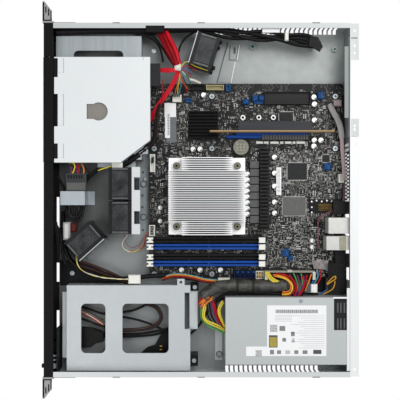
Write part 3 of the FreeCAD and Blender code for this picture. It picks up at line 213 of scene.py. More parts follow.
# by record slot: two colors, grain scale, roughness low and high, metallic, bump depth, streak direction
looks = {
    "galvanised_steel": {
        "floorSteel": ((255, 255, 255), (238, 239, 239), 90, 0.34, 0.46, 0.15, 2e-5),
        "bracketSteel": ((194, 199, 201), (186, 191, 194), 60, 0.36, 0.44, 0.2, 1e-5),
        "brushedSteel": ((178, 185, 188), (148, 155, 158), 160, 0.3, 0.42, 0.4, 2e-5, "x"),
        "supplySteel": ((190, 195, 195), (184, 189, 189), 60, 0.36, 0.46, 0.2, 1e-5),
        "footSteel": ((150, 160, 164), (126, 136, 141), 80, 0.34, 0.46, 0.4, 1e-5),
        "standShade": ((134, 138, 139), (116, 120, 121), 120, 0.36, 0.46, 0.2, 1e-5),
    },
    "pale_steel": {
        "wallSteel": ((214, 217, 218), (204, 207, 208), 70, 0.36, 0.46, 0.1, 1e-5, "y"),
        "shelfSteel": ((176, 185, 190), (166, 175, 181), 50, 0.3, 0.4, 0.2, 1e-5, "x"),
        "rearSteel": ((236, 238, 239), (228, 230, 231), 70, 0.36, 0.46, 0.05, 1e-5, "x"),
        "tabSteel": ((196, 200, 200), (188, 192, 192), 70, 0.36, 0.46, 0.1, 1e-5, "x"),
        "wallShade": ((200, 204, 205), (186, 190, 191), 70, 0.36, 0.46, 0.1, 1e-5, "y"),
        "driveSteel": ((227, 231, 232), (222, 226, 228), 30, 0.3, 0.4, 0.05, 1e-5),
        "lipShade": ((186, 194, 202), (170, 178, 186), 60, 0.4, 0.5, 0.0, 1e-5),
        "badge": ((176, 160, 74), (150, 136, 60), 200, 0.5, 0.62, 0.0, 1e-5),
        # white for paper labels and tags, and for painted highlights on fold edges
        "paperWhiteAndHighlight": ((243, 244, 244), (236, 237, 238), 200, 0.5, 0.62, 0.0, 1e-5),
        "paperInk": ((196, 198, 201), (176, 178, 182), 300, 0.5, 0.62, 0.0, 1e-5),
        "holeLight": ((255, 255, 255), (246, 246, 246), 200, 0.5, 0.6, 0.0, 1e-5),
        "inkGrey": ((138, 140, 143), (118, 120, 124), 300, 0.5, 0.62, 0.0, 1e-5),
        "rearShade": ((136, 144, 143), (122, 129, 128), 70, 0.36, 0.46, 0.1, 1e-5, "x"),
    },
    "chip_plastic": {
        "chipGrey": ((92, 92, 90), (76, 76, 75), 250, 0.36, 0.5, 0.0, 2e-5),
        "chipPlastic": ((44, 45, 46), (34, 35, 36), 250, 0.36, 0.5, 0.0, 2e-5),
        "ceramic": ((112, 100, 84), (72, 66, 60), 400, 0.4, 0.55, 0.0, 2e-5),
        "clearGrey": ((104, 110, 114), (86, 92, 96), 120, 0.3, 0.45, 0.0, 2e-5, "y"),
        "filmGrey": ((176, 168, 166), (60, 57, 57), 190, 0.3, 0.45, 0.0, 2e-5),
    },
    "black_plastic": {
        "bezelBlack": ((16, 16, 17), (11, 11, 12), 300, 0.45, 0.6, 0.0, 4e-5),
        "fanPlastic": ((40, 41, 43), (28, 29, 31), 160, 0.24, 0.4, 0.0, 2e-5),
        "rotorPlastic": ((26, 27, 29), (18, 19, 21), 160, 0.25, 0.38, 0.0, 2e-5),
        "blackPlastic": ((24, 24, 25), (16, 16, 17), 200, 0.35, 0.5, 0.0, 3e-5),
        # painted shade: near black for gaps, holes and openings where shade falls
        "shadeBlack": ((6, 6, 6), (3, 3, 3), 300, 0.5, 0.65, 0.0, 2e-5),
        "trayGrey": ((136, 133, 126), (126, 123, 116), 200, 0.4, 0.55, 0.1, 2e-5),
        # painted reflections and highlights: streaked sheen on the fans' dark side panels, pale grey for
        # their rails and ribs
        "fanPaintedSheen": ((20, 21, 22), (78, 80, 82), 75, 0.18, 0.3, 0.0, 8e-5),
        "fanRailHighlight": ((98, 100, 102), (66, 68, 70), 160, 0.28, 0.4, 0.0, 2e-5),
    },
    "ear_paint": {
        "earPaint": ((58, 58, 59), (40, 40, 41), 500, 0.45, 0.6, 0.1, 4e-5),
        "earTopReflection": ((172, 172, 173), (130, 130, 131), 500, 0.4, 0.55, 0.1, 4e-5),
    },
    "heatsink_aluminium": {
        # painted light and shade: a lit copy of the aluminium for fin tops and base corners, a shaded copy
        # for fin sides and gaps
        "sinkLitTop": ((248, 248, 249), (238, 238, 240), 60, 0.3, 0.4, 0.1, 1e-5, "y"),
        "sinkShadedSide": ((186, 187, 189), (166, 167, 169), 80, 0.34, 0.46, 0.3, 1e-5, "y"),
    },
    "black_aluminium": {
        "sinkBlack": ((18, 18, 19), (11, 11, 12), 180, 0.4, 0.55, 0.1, 2e-5),
        "finBlack": ((50, 50, 51), (40, 40, 41), 180, 0.4, 0.55, 0.1, 2e-5),
    },
    "screw_steel": {
        "cellSteel": ((128, 127, 119), (84, 83, 76), 420, 0.34, 0.46, 0.3, 8e-5),
        "screwSteel": ((176, 184, 188), (146, 154, 160), 300, 0.26, 0.38, 0.5, 2e-5),
        "screwOlive": ((134, 131, 110), (98, 96, 80), 300, 0.3, 0.42, 0.6, 2e-5),
        "bossRing": ((150, 176, 174), (120, 146, 145), 300, 0.3, 0.42, 0.3, 2e-5),
    },
    "latch_plastic": {
        "whiteNylon": ((240, 240, 234), (226, 226, 218), 150, 0.4, 0.55, 0.0, 2e-5),
    },
    "connector_plastic": {
        "creamNylon": ((206, 204, 190), (188, 186, 172), 150, 0.4, 0.55, 0.0, 2e-5),
        "headerBlue": ((40, 92, 150), (20, 60, 112), 300, 0.36, 0.48, 0.0, 2e-5),
        "darkBlue": ((14, 30, 74), (8, 20, 54), 200, 0.36, 0.48, 0.0, 2e-5),
        "tanNylon": ((176, 166, 120), (146, 136, 98), 150, 0.4, 0.55, 0.0, 2e-5),
        "brownBar": ((50, 48, 48), (40, 39, 39), 150, 0.4, 0.55, 0.0, 2e-5, "y"),
        "slotGrey": ((62, 64, 68), (52, 54, 58), 150, 0.36, 0.5, 0.0, 2e-5, "y"),
        "plugRed": ((92, 34, 34), (70, 26, 27), 200, 0.36, 0.5, 0.0, 3e-5),
    },
    "slot_plastic": {
        "blueSlot": ((27, 78, 165), (16, 58, 132), 150, 0.36, 0.5, 0.0, 2e-5, "y"),
    },
    "board_green": {
        "riserAmber": ((184, 150, 104), (140, 112, 76), 200, 0.4, 0.55, 0.0, 2e-5, "y"),
    },
    "port_metal": {
        "portMetal": ((202, 201, 198), (188, 188, 185), 120, 0.3, 0.42, 0.2, 2e-5),
        "oliveMetal": ((150, 148, 128), (128, 126, 108), 200, 0.34, 0.46, 0.4, 2e-5),
        "solder": ((240, 240, 236), (176, 176, 172), 400, 0.34, 0.5, 0.2, 2e-5),
        "gold": ((204, 170, 92), (172, 138, 68), 300, 0.3, 0.44, 0.5, 2e-5),
        "solderDim": ((142, 141, 136), (98, 97, 94), 400, 0.4, 0.55, 0.1, 2e-5),
    },
    "choke_grey": {
        "chokeGrey": ((92, 92, 92), (72, 72, 72), 260, 0.4, 0.55, 0.1, 3e-5),
    },
    "capacitor_metal": {
        "canSilver": ((238, 240, 238), (222, 224, 222), 200, 0.26, 0.38, 0.3, 1e-5),
        # grey for printed marks, and for painted shade in gaps, holes and recesses
        "markAndShadeGrey": ((84, 86, 88), (62, 64, 66), 300, 0.4, 0.55, 0.0, 2e-5),
    },
    "red_cable": {
        "redBright": ((206, 30, 46), (168, 14, 30), 120, 0.3, 0.42, 0.0, 3e-5),
        "redFlat": ((150, 6, 20), (104, 0, 8), 90, 0.3, 0.42, 0.0, 3e-5),
    },
    "loom_cable": {
        "ribbonPink": ((186, 164, 168), (150, 128, 132), 240, 0.4, 0.55, 0.0, 4e-5, "x"),
        "ribbonGrey": ((164, 161, 159), (128, 126, 125), 240, 0.4, 0.55, 0.0, 4e-5, "x"),
        "bandOlive": ((60, 59, 50), (24, 24, 23), 420, 0.4, 0.55, 0.0, 6e-5),
        "wireBrown": ((70, 48, 42), (48, 33, 30), 200, 0.36, 0.5, 0.0, 3e-5),
        "wireWhite": ((234, 230, 220), (214, 210, 200), 200, 0.36, 0.5, 0.0, 3e-5),
        "wirePink": ((150, 104, 112), (108, 70, 80), 300, 0.36, 0.5, 0.0, 3e-5),
    },
    "black_cable": {
        # painted highlight: black cable drawn lighter grey where it catches light
        "wireGrey": ((58, 58, 60), (22, 22, 24), 260, 0.3, 0.44, 0.0, 3e-5),
        "wireBlack": ((26, 26, 27), (15, 15, 16), 200, 0.34, 0.48, 0.0, 3e-5),
    },
}
wireColors = {
    "wireCyan": ((76, 158, 176), (50, 128, 150)),
    "wireYellow": ((232, 216, 66), (206, 186, 44)),
    "wireOrange": ((238, 142, 60), (212, 112, 42)),
    "wireRed": ((186, 28, 36), (150, 14, 24)),
    "wirePurple": ((134, 56, 108), (104, 40, 86)),
    "wireGreen": ((84, 166, 84), (60, 138, 62)),
    "wireBlue": ((64, 116, 190), (44, 90, 160)),
    "wireGold": ((206, 158, 60), (180, 132, 44)),
}
wireFinish = (200, 0.34, 0.48, 0.0, 3e-5)  # grain scale, roughness low and high, metallic, bump depth
looks["loom_cable"].update({name: (*colors, *wireFinish) for name, colors in wireColors.items()})
shine = {"darkest": 0.05, "dull": 0.12, "plain": 0.4}  # blacks and strong colors are dull


def newMaterial(name):
    material = bpy.data.materials.new(name)
    material.use_nodes = True
    tree = material.node_tree
    return material, tree, tree.nodes["Principled BSDF"]


def addBump(tree, shader, height, depth):
    bump = addNode(tree, "Bump")
    setInputs(bump, {"Strength": 1.0, "Distance": depth})
    tree.links.new(height, bump.inputs["Height"])
    tree.links.new(bump.outputs["Normal"], shader.inputs["Normal"])


def grainMaterial(name, first, second, scale, low, high, metal, depth, streak="none"):
    material, tree, shader = newMaterial(name)
    grain = addNode(tree, "Group", node_tree=grainGroup)
    setInputs(grain, {"Color A": (*rgb(*first), 1), "Color B": (*rgb(*second), 1), "Scale": scale,
                      "Stretch": along[streak], "Rough Low": low, "Rough High": high})
    tree.links.new(grain.outputs["Color"], shader.inputs["Base Color"])
    tree.links.new(grain.outputs["Roughness"], shader.inputs["Roughness"])
    dull = min(rgb(*first)) < shine["darkest"]
    setInputs(shader, {"Metallic": metal, "Specular IOR Level": shine["dull" if dull else "plain"]})
    addBump(tree, shader, grain.outputs["Height"], depth)
    return material


materials = {}
for recordSlot, finishes in looks.items():
    for name, finish in finishes.items():
        materials[name] = grainMaterial(name, *finish)


def openMaterial(name):  # tree, shader, grain color, and places across and back on the object
    tree = materials[name].node_tree
    grain = next(node for node in tree.nodes if node.type == "GROUP")
    split = addNode(tree, "SeparateXYZ")
    tree.links.new(addNode(tree, "TexCoord").outputs["Object"], split.inputs[0])
    return tree, tree.nodes["Principled BSDF"], grain.outputs["Color"], split.outputs["X"], split.outputs["Y"]


def smoothRamp(tree, value, span):
    ramp = addNode(tree, "MapRange", interpolation_type="SMOOTHSTEP")
    tree.links.new(value, ramp.inputs["Value"])
    ramp.inputs["From Min"].default_value, ramp.inputs["From Max"].default_value = span
    return ramp.outputs["Result"]


# painted shade and light on the floor: a dark front, a middle tone, and a bright rear left where the lamp's
# reflection falls
floorPaintedLight = {"dark": rgb(86, 88, 88), "middle": rgb(139, 143, 143), "light": rgb(158, 163, 162),
             "frontRamp": (-0.112, -0.058), "rearRamp": (0.09, 0.17), "spread": 0.75, "lean": -0.6}


def shadeFloor():  # painted shade and light: the floor is painted darker at the front and brightest at the rear left
    tree, shader, grain, across, back = openMaterial("floorSteel")
    aside = mathNode(tree, "MULTIPLY", mathNode(tree, "ABSOLUTE", across, 0.0), floorPaintedLight["spread"])
    front = smoothRamp(tree, mathNode(tree, "ADD", back, aside), floorPaintedLight["frontRamp"])
    lean = mathNode(tree, "MULTIPLY", across, floorPaintedLight["lean"])
    rear = smoothRamp(tree, mathNode(tree, "ADD", back, lean), floorPaintedLight["rearRamp"])
    ground = mixNode(tree, front, floorPaintedLight["dark"], floorPaintedLight["middle"])
    blend = addNode(tree, "Mix", data_type="RGBA", blend_type="MULTIPLY")
    setInputs(blend, {"Factor": 1.0})
    tree.links.new(mixNode(tree, rear, ground, floorPaintedLight["light"]), blend.inputs[6])
    tree.links.new(grain, blend.inputs[7])
    tree.links.new(blend.outputs[2], shader.inputs["Base Color"])


shadeFloor()
sinkShade = {"middle": (-0.0047, 0.0086), "half": 0.0475, "pad": 0.0165, "reach": 0.012,
             "light": rgb(250, 250, 250), "glow": {"sinkShadedSide": 0.09, "sinkLitTop": 0.02}}


def shadeSink(name):  # painted light: fin sides and tops are painted brighter and made to glow near the fins' ends, where light reaches between them
    tree, shader, grain, x, y = openMaterial(name)
    across, back = [mathNode(tree, "ABSOLUTE", mathNode(tree, "SUBTRACT", axis, middle), 0.0)
                    for axis, middle in zip((x, y), sinkShade["middle"])]
    outer = mathNode(tree, "GREATER_THAN", across, sinkShade["half"] - sinkShade["pad"])
    end = mathNode(tree, "SUBTRACT", sinkShade["half"], mathNode(tree, "MULTIPLY", outer, sinkShade["pad"]))
    near = smoothRamp(tree, mathNode(tree, "SUBTRACT", back, end), (-sinkShade["reach"], 0.0))
    tree.links.new(mixNode(tree, near, grain, sinkShade["light"]), shader.inputs["Base Color"])
    setInputs(shader, {"Emission Color": (*sinkShade["light"], 1)})
    glow = mathNode(tree, "MULTIPLY", near, sinkShade["glow"][name])
    tree.links.new(glow, shader.inputs["Emission Strength"])


for name in sinkShade["glow"]:
    shadeSink(name)
# painted light: the dots in the rear panel's air holes glow, though they are no lamp
holeGlow = {"Emission Color": (1, 1, 1, 1), "Emission Strength": 0.4}
setInputs(materials["holeLight"].node_tree.nodes["Principled BSDF"], holeGlow)
boardLook = {"base": rgb(24, 24, 25), "line": rgb(44, 44, 43), "mark": rgb(140, 139, 133), "share": 0.6,
             "rough": 0.42, "shine": 0.15, "bump": 3e-5}


def boardMaterial():
    material, tree, shader = newMaterial("boardMask")
    marks = addNode(tree, "Group", node_tree=marksGroup)
    setInputs(marks, {"Base": (*boardLook["base"], 1), "Line": (*boardLook["line"], 1),
                      "Mark": (*boardLook["mark"], 1), "Share": boardLook["share"]})
    tree.links.new(marks.outputs["Color"], shader.inputs["Base Color"])
    setInputs(shader, {"Roughness": boardLook["rough"], "Specular IOR Level": boardLook["shine"]})
    addBump(tree, shader, marks.outputs["Height"], boardLook["bump"])
    return material


sleeveLook = {"high": rgb(132, 131, 121), "low": rgb(34, 34, 34), "scale": 170.0, "rough": 0.45, "bump": 2e-4}


def sleeveMaterial():
    material, tree, shader = newMaterial("sleeveBraid")
    weave = addNode(tree, "Group", node_tree=weaveGroup)
    setInputs(weave, {"High": (*sleeveLook["high"], 1), "Low": (*sleeveLook["low"], 1),
                      "Scale": sleeveLook["scale"]})
    tree.links.new(weave.outputs["Color"], shader.inputs["Base Color"])
    setInputs(shader, {"Roughness": sleeveLook["rough"]})
    addBump(tree, shader, weave.outputs["Height"], sleeveLook["bump"])
    return material


materials["boardMask"] = boardMaterial()
materials["sleeveBraid"] = sleeveMaterial()
print("stage: materials built,", len(materials))


def place(obj, names, body):
    scene.collection.objects.link(obj)
    for name in names:
        obj.data.materials.append(materials[name])
    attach(obj, body)
    return obj


def skin(bm, loops, slot):
    faces = [bm.faces.new(list(reversed(loops[0]))), bm.faces.new(loops[-1])]
    for lower, upper in zip(loops, loops[1:]):
        for index in range(len(lower)):
            after = (index + 1) % len(lower)
            faces.append(bm.faces.new((lower[index], lower[after], upper[after], upper[index])))
    for face in faces:
        face.material_index = slot


edgeShare = (0.4, 0.4, 0.6)  # most of a block's size that a chamfer may take


def block(bm, low, high, slot=0, edge=0.0, turn=None):  # block with chamfered top edges
    edge = min(edge, *((b - a) * share for a, b, share in zip(low, high, edgeShare)))
    rings = [(0, low[2]), (0, high[2] - edge), (edge, high[2])] if edge > 0 else [(0, low[2]), (0, high[2])]
    loops = []
    for inset, z in rings:
        corners = [(low[0] + inset, low[1] + inset), (high[0] - inset, low[1] + inset),
                   (high[0] - inset, high[1] - inset), (low[0] + inset, high[1] - inset)]
        spots = [Vector((x, y, z)) for x, y in corners]
        loops.append([bm.verts.new(turn @ spot if turn else spot) for spot in spots])
    skin(bm, loops, slot)


def blocks(bm, spots, low, high, slot=0, edge=0.0):  # blocks of one height, each from x, y to x, y
    for x0, y0, x1, y1 in spots:
        block(bm, (x0, y0, low), (x1, y1, high), slot, edge)


socketTaper = 0.85  # foot of a round socket against its mouth


def disc(bm, centre, radius, low, high, slot=0, sides=20, edge=0.0, hole=0.0, sink=0.0):
    rings = [(radius, low), (radius, high - edge)]
    if edge > 0:
        rings.append((radius - edge, high))
    if hole > 0:
        rings += [(hole, high), (hole * socketTaper, high - sink)]
    loops = []
    for size, z in rings:
        ring = []
        for step in range(sides):
            angle = 2 * math.pi * step / sides
            spot = (centre[0] + size * math.cos(angle), centre[1] + size * math.sin(angle), z)
            ring.append(bm.verts.new(spot))
        loops.append(ring)
    skin(bm, loops, slot)


def plate(bm, outline, low, high, slot=0):
    loops = [[bm.verts.new((x, y, z)) for x, y in outline] for z in (low, high)]
    skin(bm, loops, slot)


def solid(name, names, build, body="chassis"):
    mesh = bpy.data.meshes.new(name)
    bm = bmesh.new()
    build(bm)
    bmesh.ops.recalc_face_normals(bm, faces=bm.faces)
    bm.to_mesh(mesh)
    bm.free()
    return place(bpy.data.objects.new(name, mesh), names, body)


cordShape = {"bevel_resolution": 3, "resolution_u": 8, "dimensions": "3D", "twist_mode": "Z_UP",
             "use_fill_caps": True}


def cords(name, look, radius, routes, body="chassis", flat=0.0):  # flat is half the width of a ribbon
    data = bpy.data.curves.new(name, "CURVE")
    for label, value in cordShape.items():
        setattr(data, label, value)
    data.bevel_depth = radius
    data.extrude = flat
    for points in routes:
        spline = data.splines.new("NURBS")
        spline.points.add(len(points) - 1)
        for spot, point in zip(spline.points, points):
            spot.co = (*point, 1)
            spot.tilt = math.pi / 2 if flat else 0.0
        spline.order_u = 3
        spline.use_endpoint_u = True
    return place(bpy.data.objects.new(name, data), [look], body)


photoFit = {"pixel": 0.0012125, "middle": (200.0, 199.9), "rim": 0.0435, "eye": 1.0035}


def fromPhoto(across, down, height):  # place of a pixel of the photograph at a height in millimetres
    z = height / 1000
    pixel = photoFit["pixel"] * (photoFit["eye"] - z) / (photoFit["eye"] - photoFit["rim"])
    return Vector(((down - photoFit["middle"][1]) * pixel, (across - photoFit["middle"][0]) * pixel, z))


def solidsOf(name):  # face lists and boxes of the separate solids in a CAD node
    mesh = nodes[name].data
    keys = {}
    owner = [keys.setdefault(tuple(round(c, 6) for c in v.co), len(keys)) for v in mesh.vertices]
    parent = list(range(len(keys)))

    def root(index):
        while parent[index] != index:
            parent[index] = parent[parent[index]]
            index = parent[index]
        return index

    for face in mesh.polygons:
        first = root(owner[face.vertices[0]])
        for vertex in face.vertices[1:]:
            parent[root(owner[vertex])] = first
    groups = {}
    for face in mesh.polygons:
        groups.setdefault(root(owner[face.vertices[0]]), []).append(face)
    found = []
    for faces in groups.values():
        spots = [mesh.vertices[i].co for face in faces for i in face.vertices]
        low = Vector(min(s[k] for s in spots) for k in range(3))
        high = Vector(max(s[k] for s in spots) for k in range(3))
        found.append((faces, low, high))
    return found


def boxesOf(name):  # low and high corners of the separate solids in a CAD node
    return [(low, high) for faces, low, high in solidsOf(name)]


def nearSolid(name, spot):  # box of the solid nearest to a place
    return min(boxesOf(name), key=lambda box: (((box[0] + box[1]) / 2).xy - Vector(spot)).length)


def paintGroups(name, groups):  # a look for each list of faces
    mesh = nodes[name].data
    mesh.materials.clear()
    order = []
    for look, faces in groups:
        if look not in order:
            order.append(look)
            mesh.materials.append(materials[look])
        for face in faces:
            face.material_index = order.index(look)


def paint(name, look):
    paintGroups(name, [(look, nodes[name].data.polygons)])


def paintFaces(name, rule):  # rule gives the look for a face's centre and normal
    paintGroups(name, [(rule(face.center, face.normal), [face]) for face in nodes[name].data.polygons])


def paintSolids(name, rule):  # rule gives the look for the middle and size of a solid's box
    paintGroups(name, [(rule((low + high) / 2, high - low), faces) for faces, low, high in solidsOf(name)])


fanNames = ["main_fan_left", "main_fan_right", "corner_fan", "side_fan", "supply_fan"]
plainPaint = {
    "floorSteel": ["chassis_floor"],
    "wallSteel": ["side_wall_right"],
    "wallShade": ["side_wall_left"],
    "rearShade": ["slot_cover"],
    "bezelBlack": ["front_bezel", "optical_drive_face"],
    "blackPlastic": ["power_button", "eject_button", "power_inlet"],
    "brushedSteel": ["drive_bracket_left"],
    "bracketSteel": ["drive_bracket_right"],
    "shelfSteel": ["cable_bracket"],
    "screwSteel": ["board_fasteners"],
    "fanPlastic": [name + "_frame" for name in fanNames],
    "rotorPlastic": [name + "_rotor" for name in fanNames],
    "boardMask": ["motherboard"],
    "sinkBlack": ["chipset_heatsink"],
    "finBlack": ["regulator_heatsink"],
    "screwOlive": ["heatsink_screws"],
    "chokeGrey": ["chokes"],
    "canSilver": ["capacitors"],
    "cellSteel": ["coin_cell"],
    "blueSlot": ["board_slot"],
    "supplySteel": ["supply_case"],
    "whiteNylon": ["memory_latch_%s_%d" % (end, row) for end in ("front", "rear") for row in (1, 2, 3, 4)],
}
for look, names in plainPaint.items():
    for name in names:
        paint(name, look)

connectorSpots = {
    "creamNylon": [(0.0923, 0.1109), (0.0931, 0.0741)],
    "blackPlastic": [(-0.066, 0.0512), (-0.1401, -0.0019), (0.0285, 0.147)],
    "darkBlue": [(0.0925, 0.0654), (0.0925, 0.0588), (0.0925, 0.0522), (0.0925, 0.0456)],
    "tanNylon": [(-0.1401, 0.0187)],
    "brownBar": [(-0.1274, 0.1094)],
    "whiteNylon": [(-0.1269, -0.0287), (-0.046, -0.0592), (0.0381, -0.0598), (-0.027, 0.176)],
    "headerBlue": [(-0.1399, 0.0352), (-0.1245, -0.0138), (-0.1245, 0.0735)],
    "slotGrey": [(-0.1185, 0.163)],
}


def connectorLook(middle, size):
    best = min((math.hypot(middle.x - x, middle.y - y), look) for look, spots in connectorSpots.items()
               for x, y in spots)
    return best[1]


paintSolids("board_connectors", connectorLook)
solidLimits = {"blueRows": (58, 79), "jacks": (0.02, 0.06), "card": 0.003, "shell": 0.05,
               "greyChip": (0.0, 0.02), "socket": 0.045, "port": 0.008}
solidRules = {  # test on the middle and size of a solid, look where it holds and look elsewhere
    "memory_slots": (lambda middle, size: round(middle.x * 1000) in solidLimits["blueRows"],
                     "blueSlot", "blackPlastic"),
    "rear_ports": (lambda middle, size: solidLimits["jacks"][0] <= middle.x <= solidLimits["jacks"][1],
                   "portMetal", "blackPlastic"),
    "riser_card": (lambda middle, size: size.x < solidLimits["card"], "riserAmber", "slotGrey"),
    "optical_drive_case": (lambda middle, size: size.y > solidLimits["shell"], "driveSteel", "chipPlastic"),
    "chips": (lambda middle, size: solidLimits["greyChip"][0] < middle.x < solidLimits["greyChip"][1],
              "chipGrey", "chipPlastic"),
    "processor_socket": (lambda middle, size: size.x > solidLimits["socket"], "blackPlastic", "portMetal"),
    "front_io_board": (lambda middle, size: size.x > solidLimits["port"], "blackPlastic", "lipShade"),
}
for name, (test, yes, no) in solidRules.items():
    paintSolids(name, lambda middle, size: yes if test(middle, size) else no)

faceLimits = {"finTop": 0.0384, "plateTop": 0.036, "tabTop": 0.043, "tabEnd": -0.0774, "standTop": 0.04,
              "upright": 0.5, "slope": 0.3, "eye": Vector((-0.1075, -0.123)), "eyeReach": 0.03}


def rearLook(middle, normal):  # grey screw tabs, shaded inside
    onTop = normal.z > faceLimits["upright"] and middle.z > faceLimits["tabTop"]
    if onTop and middle.x < faceLimits["tabEnd"]:
        return "tabSteel"
    return "rearShade" if normal.y < -faceLimits["upright"] else "rearSteel"


def standLook(middle, normal):  # pale tops on the stands of the two turned fans
    onTop = normal.z > faceLimits["upright"] and middle.z > faceLimits["standTop"]
    return "wallSteel" if onTop else "standShade"


# painted reflection: faces turned up are painted pale grey, the others keep the ears' dark paint
def earLook(middle, normal):
    return "earTopReflection" if normal.z > faceLimits["slope"] else "earPaint"


def sinkLook(middle, normal):  # painted light and shade: fin tops in a lit, bright copy of the aluminium, sides and gaps in a shaded copy
    return "sinkLitTop" if middle.z > faceLimits["finTop"] else "sinkShadedSide"


def plateLook(middle, normal):  # pale upper edge of the fan plate
    return "wallSteel" if middle.z > faceLimits["plateTop"] else "footSteel"


def trayLook(middle, normal):  # round recess, seen through the drive's opening
    return "trayGrey" if (middle.xy - faceLimits["eye"]).length < faceLimits["eyeReach"] else "blackPlastic"


faceRules = {
    "processor_heatsink": sinkLook, "fan_wall_plate": plateLook, "rear_panel": rearLook,
    "rack_ear_left": earLook, "rack_ear_right": earLook, "corner_fan_stand": standLook,
    "side_fan_stand": standLook, "optical_drive_tray": trayLook,
}
for name, rule in faceRules.items():
    paintFaces(name, rule)
print("stage: nodes painted")

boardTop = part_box("motherboard")[1][2]
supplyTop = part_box("supply_case")[1][2]
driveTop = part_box("optical_drive_case")[1][2]
goldRings = {"spots": [(-0.1036, 0.0539), (-0.1036, 0.0740), (-0.1036, 0.0921)], "radius": 0.0031,
             "rise": 0.0007, "edge": 0.0001, "hole": 0.6, "sink": 0.0006, "core": 0.5,
             "coreSpan": (0.0001, 0.0004)}


def setRings(bm):  # bare rings round the empty screw holes of the board
    radius = goldRings["radius"]
    coreLow, coreHigh = goldRings["coreSpan"]
    for spot in goldRings["spots"]:
        disc(bm, spot, radius, boardTop, boardTop + goldRings["rise"], edge=goldRings["edge"],
             hole=radius * goldRings["hole"], sink=goldRings["sink"])
        disc(bm, spot, radius * goldRings["core"], boardTop + coreLow, boardTop + coreHigh, 1)


solid("goldRings", ["canSilver", "blackPlastic"], setRings)

smallParts = {
    "seed": 5, "tries": 9000, "region": ((-0.1385, -0.0625), (0.0965, 0.1785)),
    "dense": ((-0.062, 0.078), (0.0965, 0.1785)), "denseShare": 0.46, "cell": 0.00025, "gap": 0.0003,
    "kinds": [  # length, width, height, longest row, chance
        (0.0010, 0.0006, 0.0005, 5, 40), (0.0016, 0.0009, 0.0007, 5, 34), (0.0021, 0.0013, 0.0010, 4, 16),
        (0.0032, 0.0017, 0.0012, 3, 7), (0.0046, 0.0040, 0.0011, 2, 9), (0.0068, 0.0060, 0.0011, 1, 6)],
    "bodies": (1, 2, 2, 2, 2, 3), "ends": (0, 0, 0, 4, 4), "capShare": 0.27, "capRise": 0.9, "legged": 0.004,
    "leg": {"reach": 0.0006, "pitch": 0.0011, "half": 0.00028, "rise": 0.4, "edge": 0.0002},
    "around": ["board_connectors", "memory_slots", "capacitors", "chokes", "chips", "rear_ports",
               "coin_cell", "processor_heatsink", "chipset_heatsink", "regulator_heatsink", "board_slot",
               "board_fasteners"],
}


def takenPlaces():
    taken = []
    for name in smallParts["around"]:
        taken += [(low.x, low.y, high.x, high.y) for low, high in boxesOf(name)]
    reach = goldRings["radius"]
    taken += [(x - reach, y - reach, x + reach, y + reach) for x, y in goldRings["spots"]]
    return taken


def cellSpan(low, high, start):
    first, last = [int((edge - start) / smallParts["cell"]) for edge in (low, high)]
    return slice(max(0, first), max(0, last + 1))


def padded(bm, low, high, height, axis, body, end):  # part with bare metal ends along one axis
    cap = (high[axis] - low[axis]) * smallParts["capShare"]
    inner = [list(low), list(high)]
    inner[0][axis] += cap
    inner[1][axis] -= cap
    block(bm, (*inner[0], boardTop), (*inner[1], boardTop + height), body)
    for near, far in ((low[axis], low[axis] + cap), (high[axis] - cap, high[axis])):
        corner, other = list(low), list(high)
        corner[axis], other[axis] = near, far
        block(bm, (*corner, boardTop), (*other, boardTop + height * smallParts["capRise"]), end)


def legged(bm, low, high, height, axis):  # dark part with bright legs on two sides
    leg = smallParts["leg"]
    side = 1 - axis
    inner = [list(low), list(high)]
    inner[0][side] += leg["reach"]
    inner[1][side] -= leg["reach"]
    block(bm, (*inner[0], boardTop), (*inner[1], boardTop + height), 2, leg["edge"])
    count = int((high[axis] - low[axis]) / leg["pitch"])
    for index in range(count):
        middle = low[axis] + (high[axis] - low[axis]) * (index + 0.5) / count
        corner, other = list(low), list(high)
        corner[axis], other[axis] = middle - leg["half"], middle + leg["half"]
        block(bm, (*corner, boardTop), (*other, boardTop + height * leg["rise"]), 0)


def scatterParts(bm):  # rows of like parts wherever the board is free
    pick = random.Random(smallParts["seed"])
    (left, front), (right, rear) = smallParts["region"]
    cell, gap = smallParts["cell"], smallParts["gap"]
    used = numpy.zeros((int((right - left) / cell) + 1, int((rear - front) / cell) + 1), bool)
    for x0, y0, x1, y1 in takenPlaces():
        used[cellSpan(x0 - gap, x1 + gap, left), cellSpan(y0 - gap, y1 + gap, front)] = True
    kinds = smallParts["kinds"]
    chances = [kind[-1] for kind in kinds]
    count = 0
    for attempt in range(smallParts["tries"]):
        home = smallParts["dense"] if pick.random() < smallParts["denseShare"] else smallParts["region"]
        spot = [pick.uniform(home[0][axis], home[1][axis]) for axis in (0, 1)]
        length, width, height, most = pick.choices(kinds, chances)[0][:4]
        axis = pick.choice((0, 1))
        body = pick.choice(smallParts["bodies"])
        end = pick.choice(smallParts["ends"])
        for index in range(pick.randint(1, most)):
            low = list(spot)
            high = list(spot)
            high[axis] += length
            high[1 - axis] += width
            spot[1 - axis] += width + gap
            if high[0] > right or high[1] > rear:
                break
            cells = (cellSpan(low[0], high[0], left), cellSpan(low[1], high[1], front))
            if used[cells].any():
                break
            used[cells] = True
            count += 1
            if length > smallParts["legged"]:
                legged(bm, low, high, height, axis)
            else:
                padded(bm, low, high, height, axis, body, end)
    print("stage: small parts placed,", count)


solid("smallParts", ["solder", "ceramic", "chipPlastic", "chokeGrey", "solderDim"], scatterParts)

canMarks = {"height": 0.00012, "share": 0.9, "start": -15, "sweep": 115, "steps": 8}


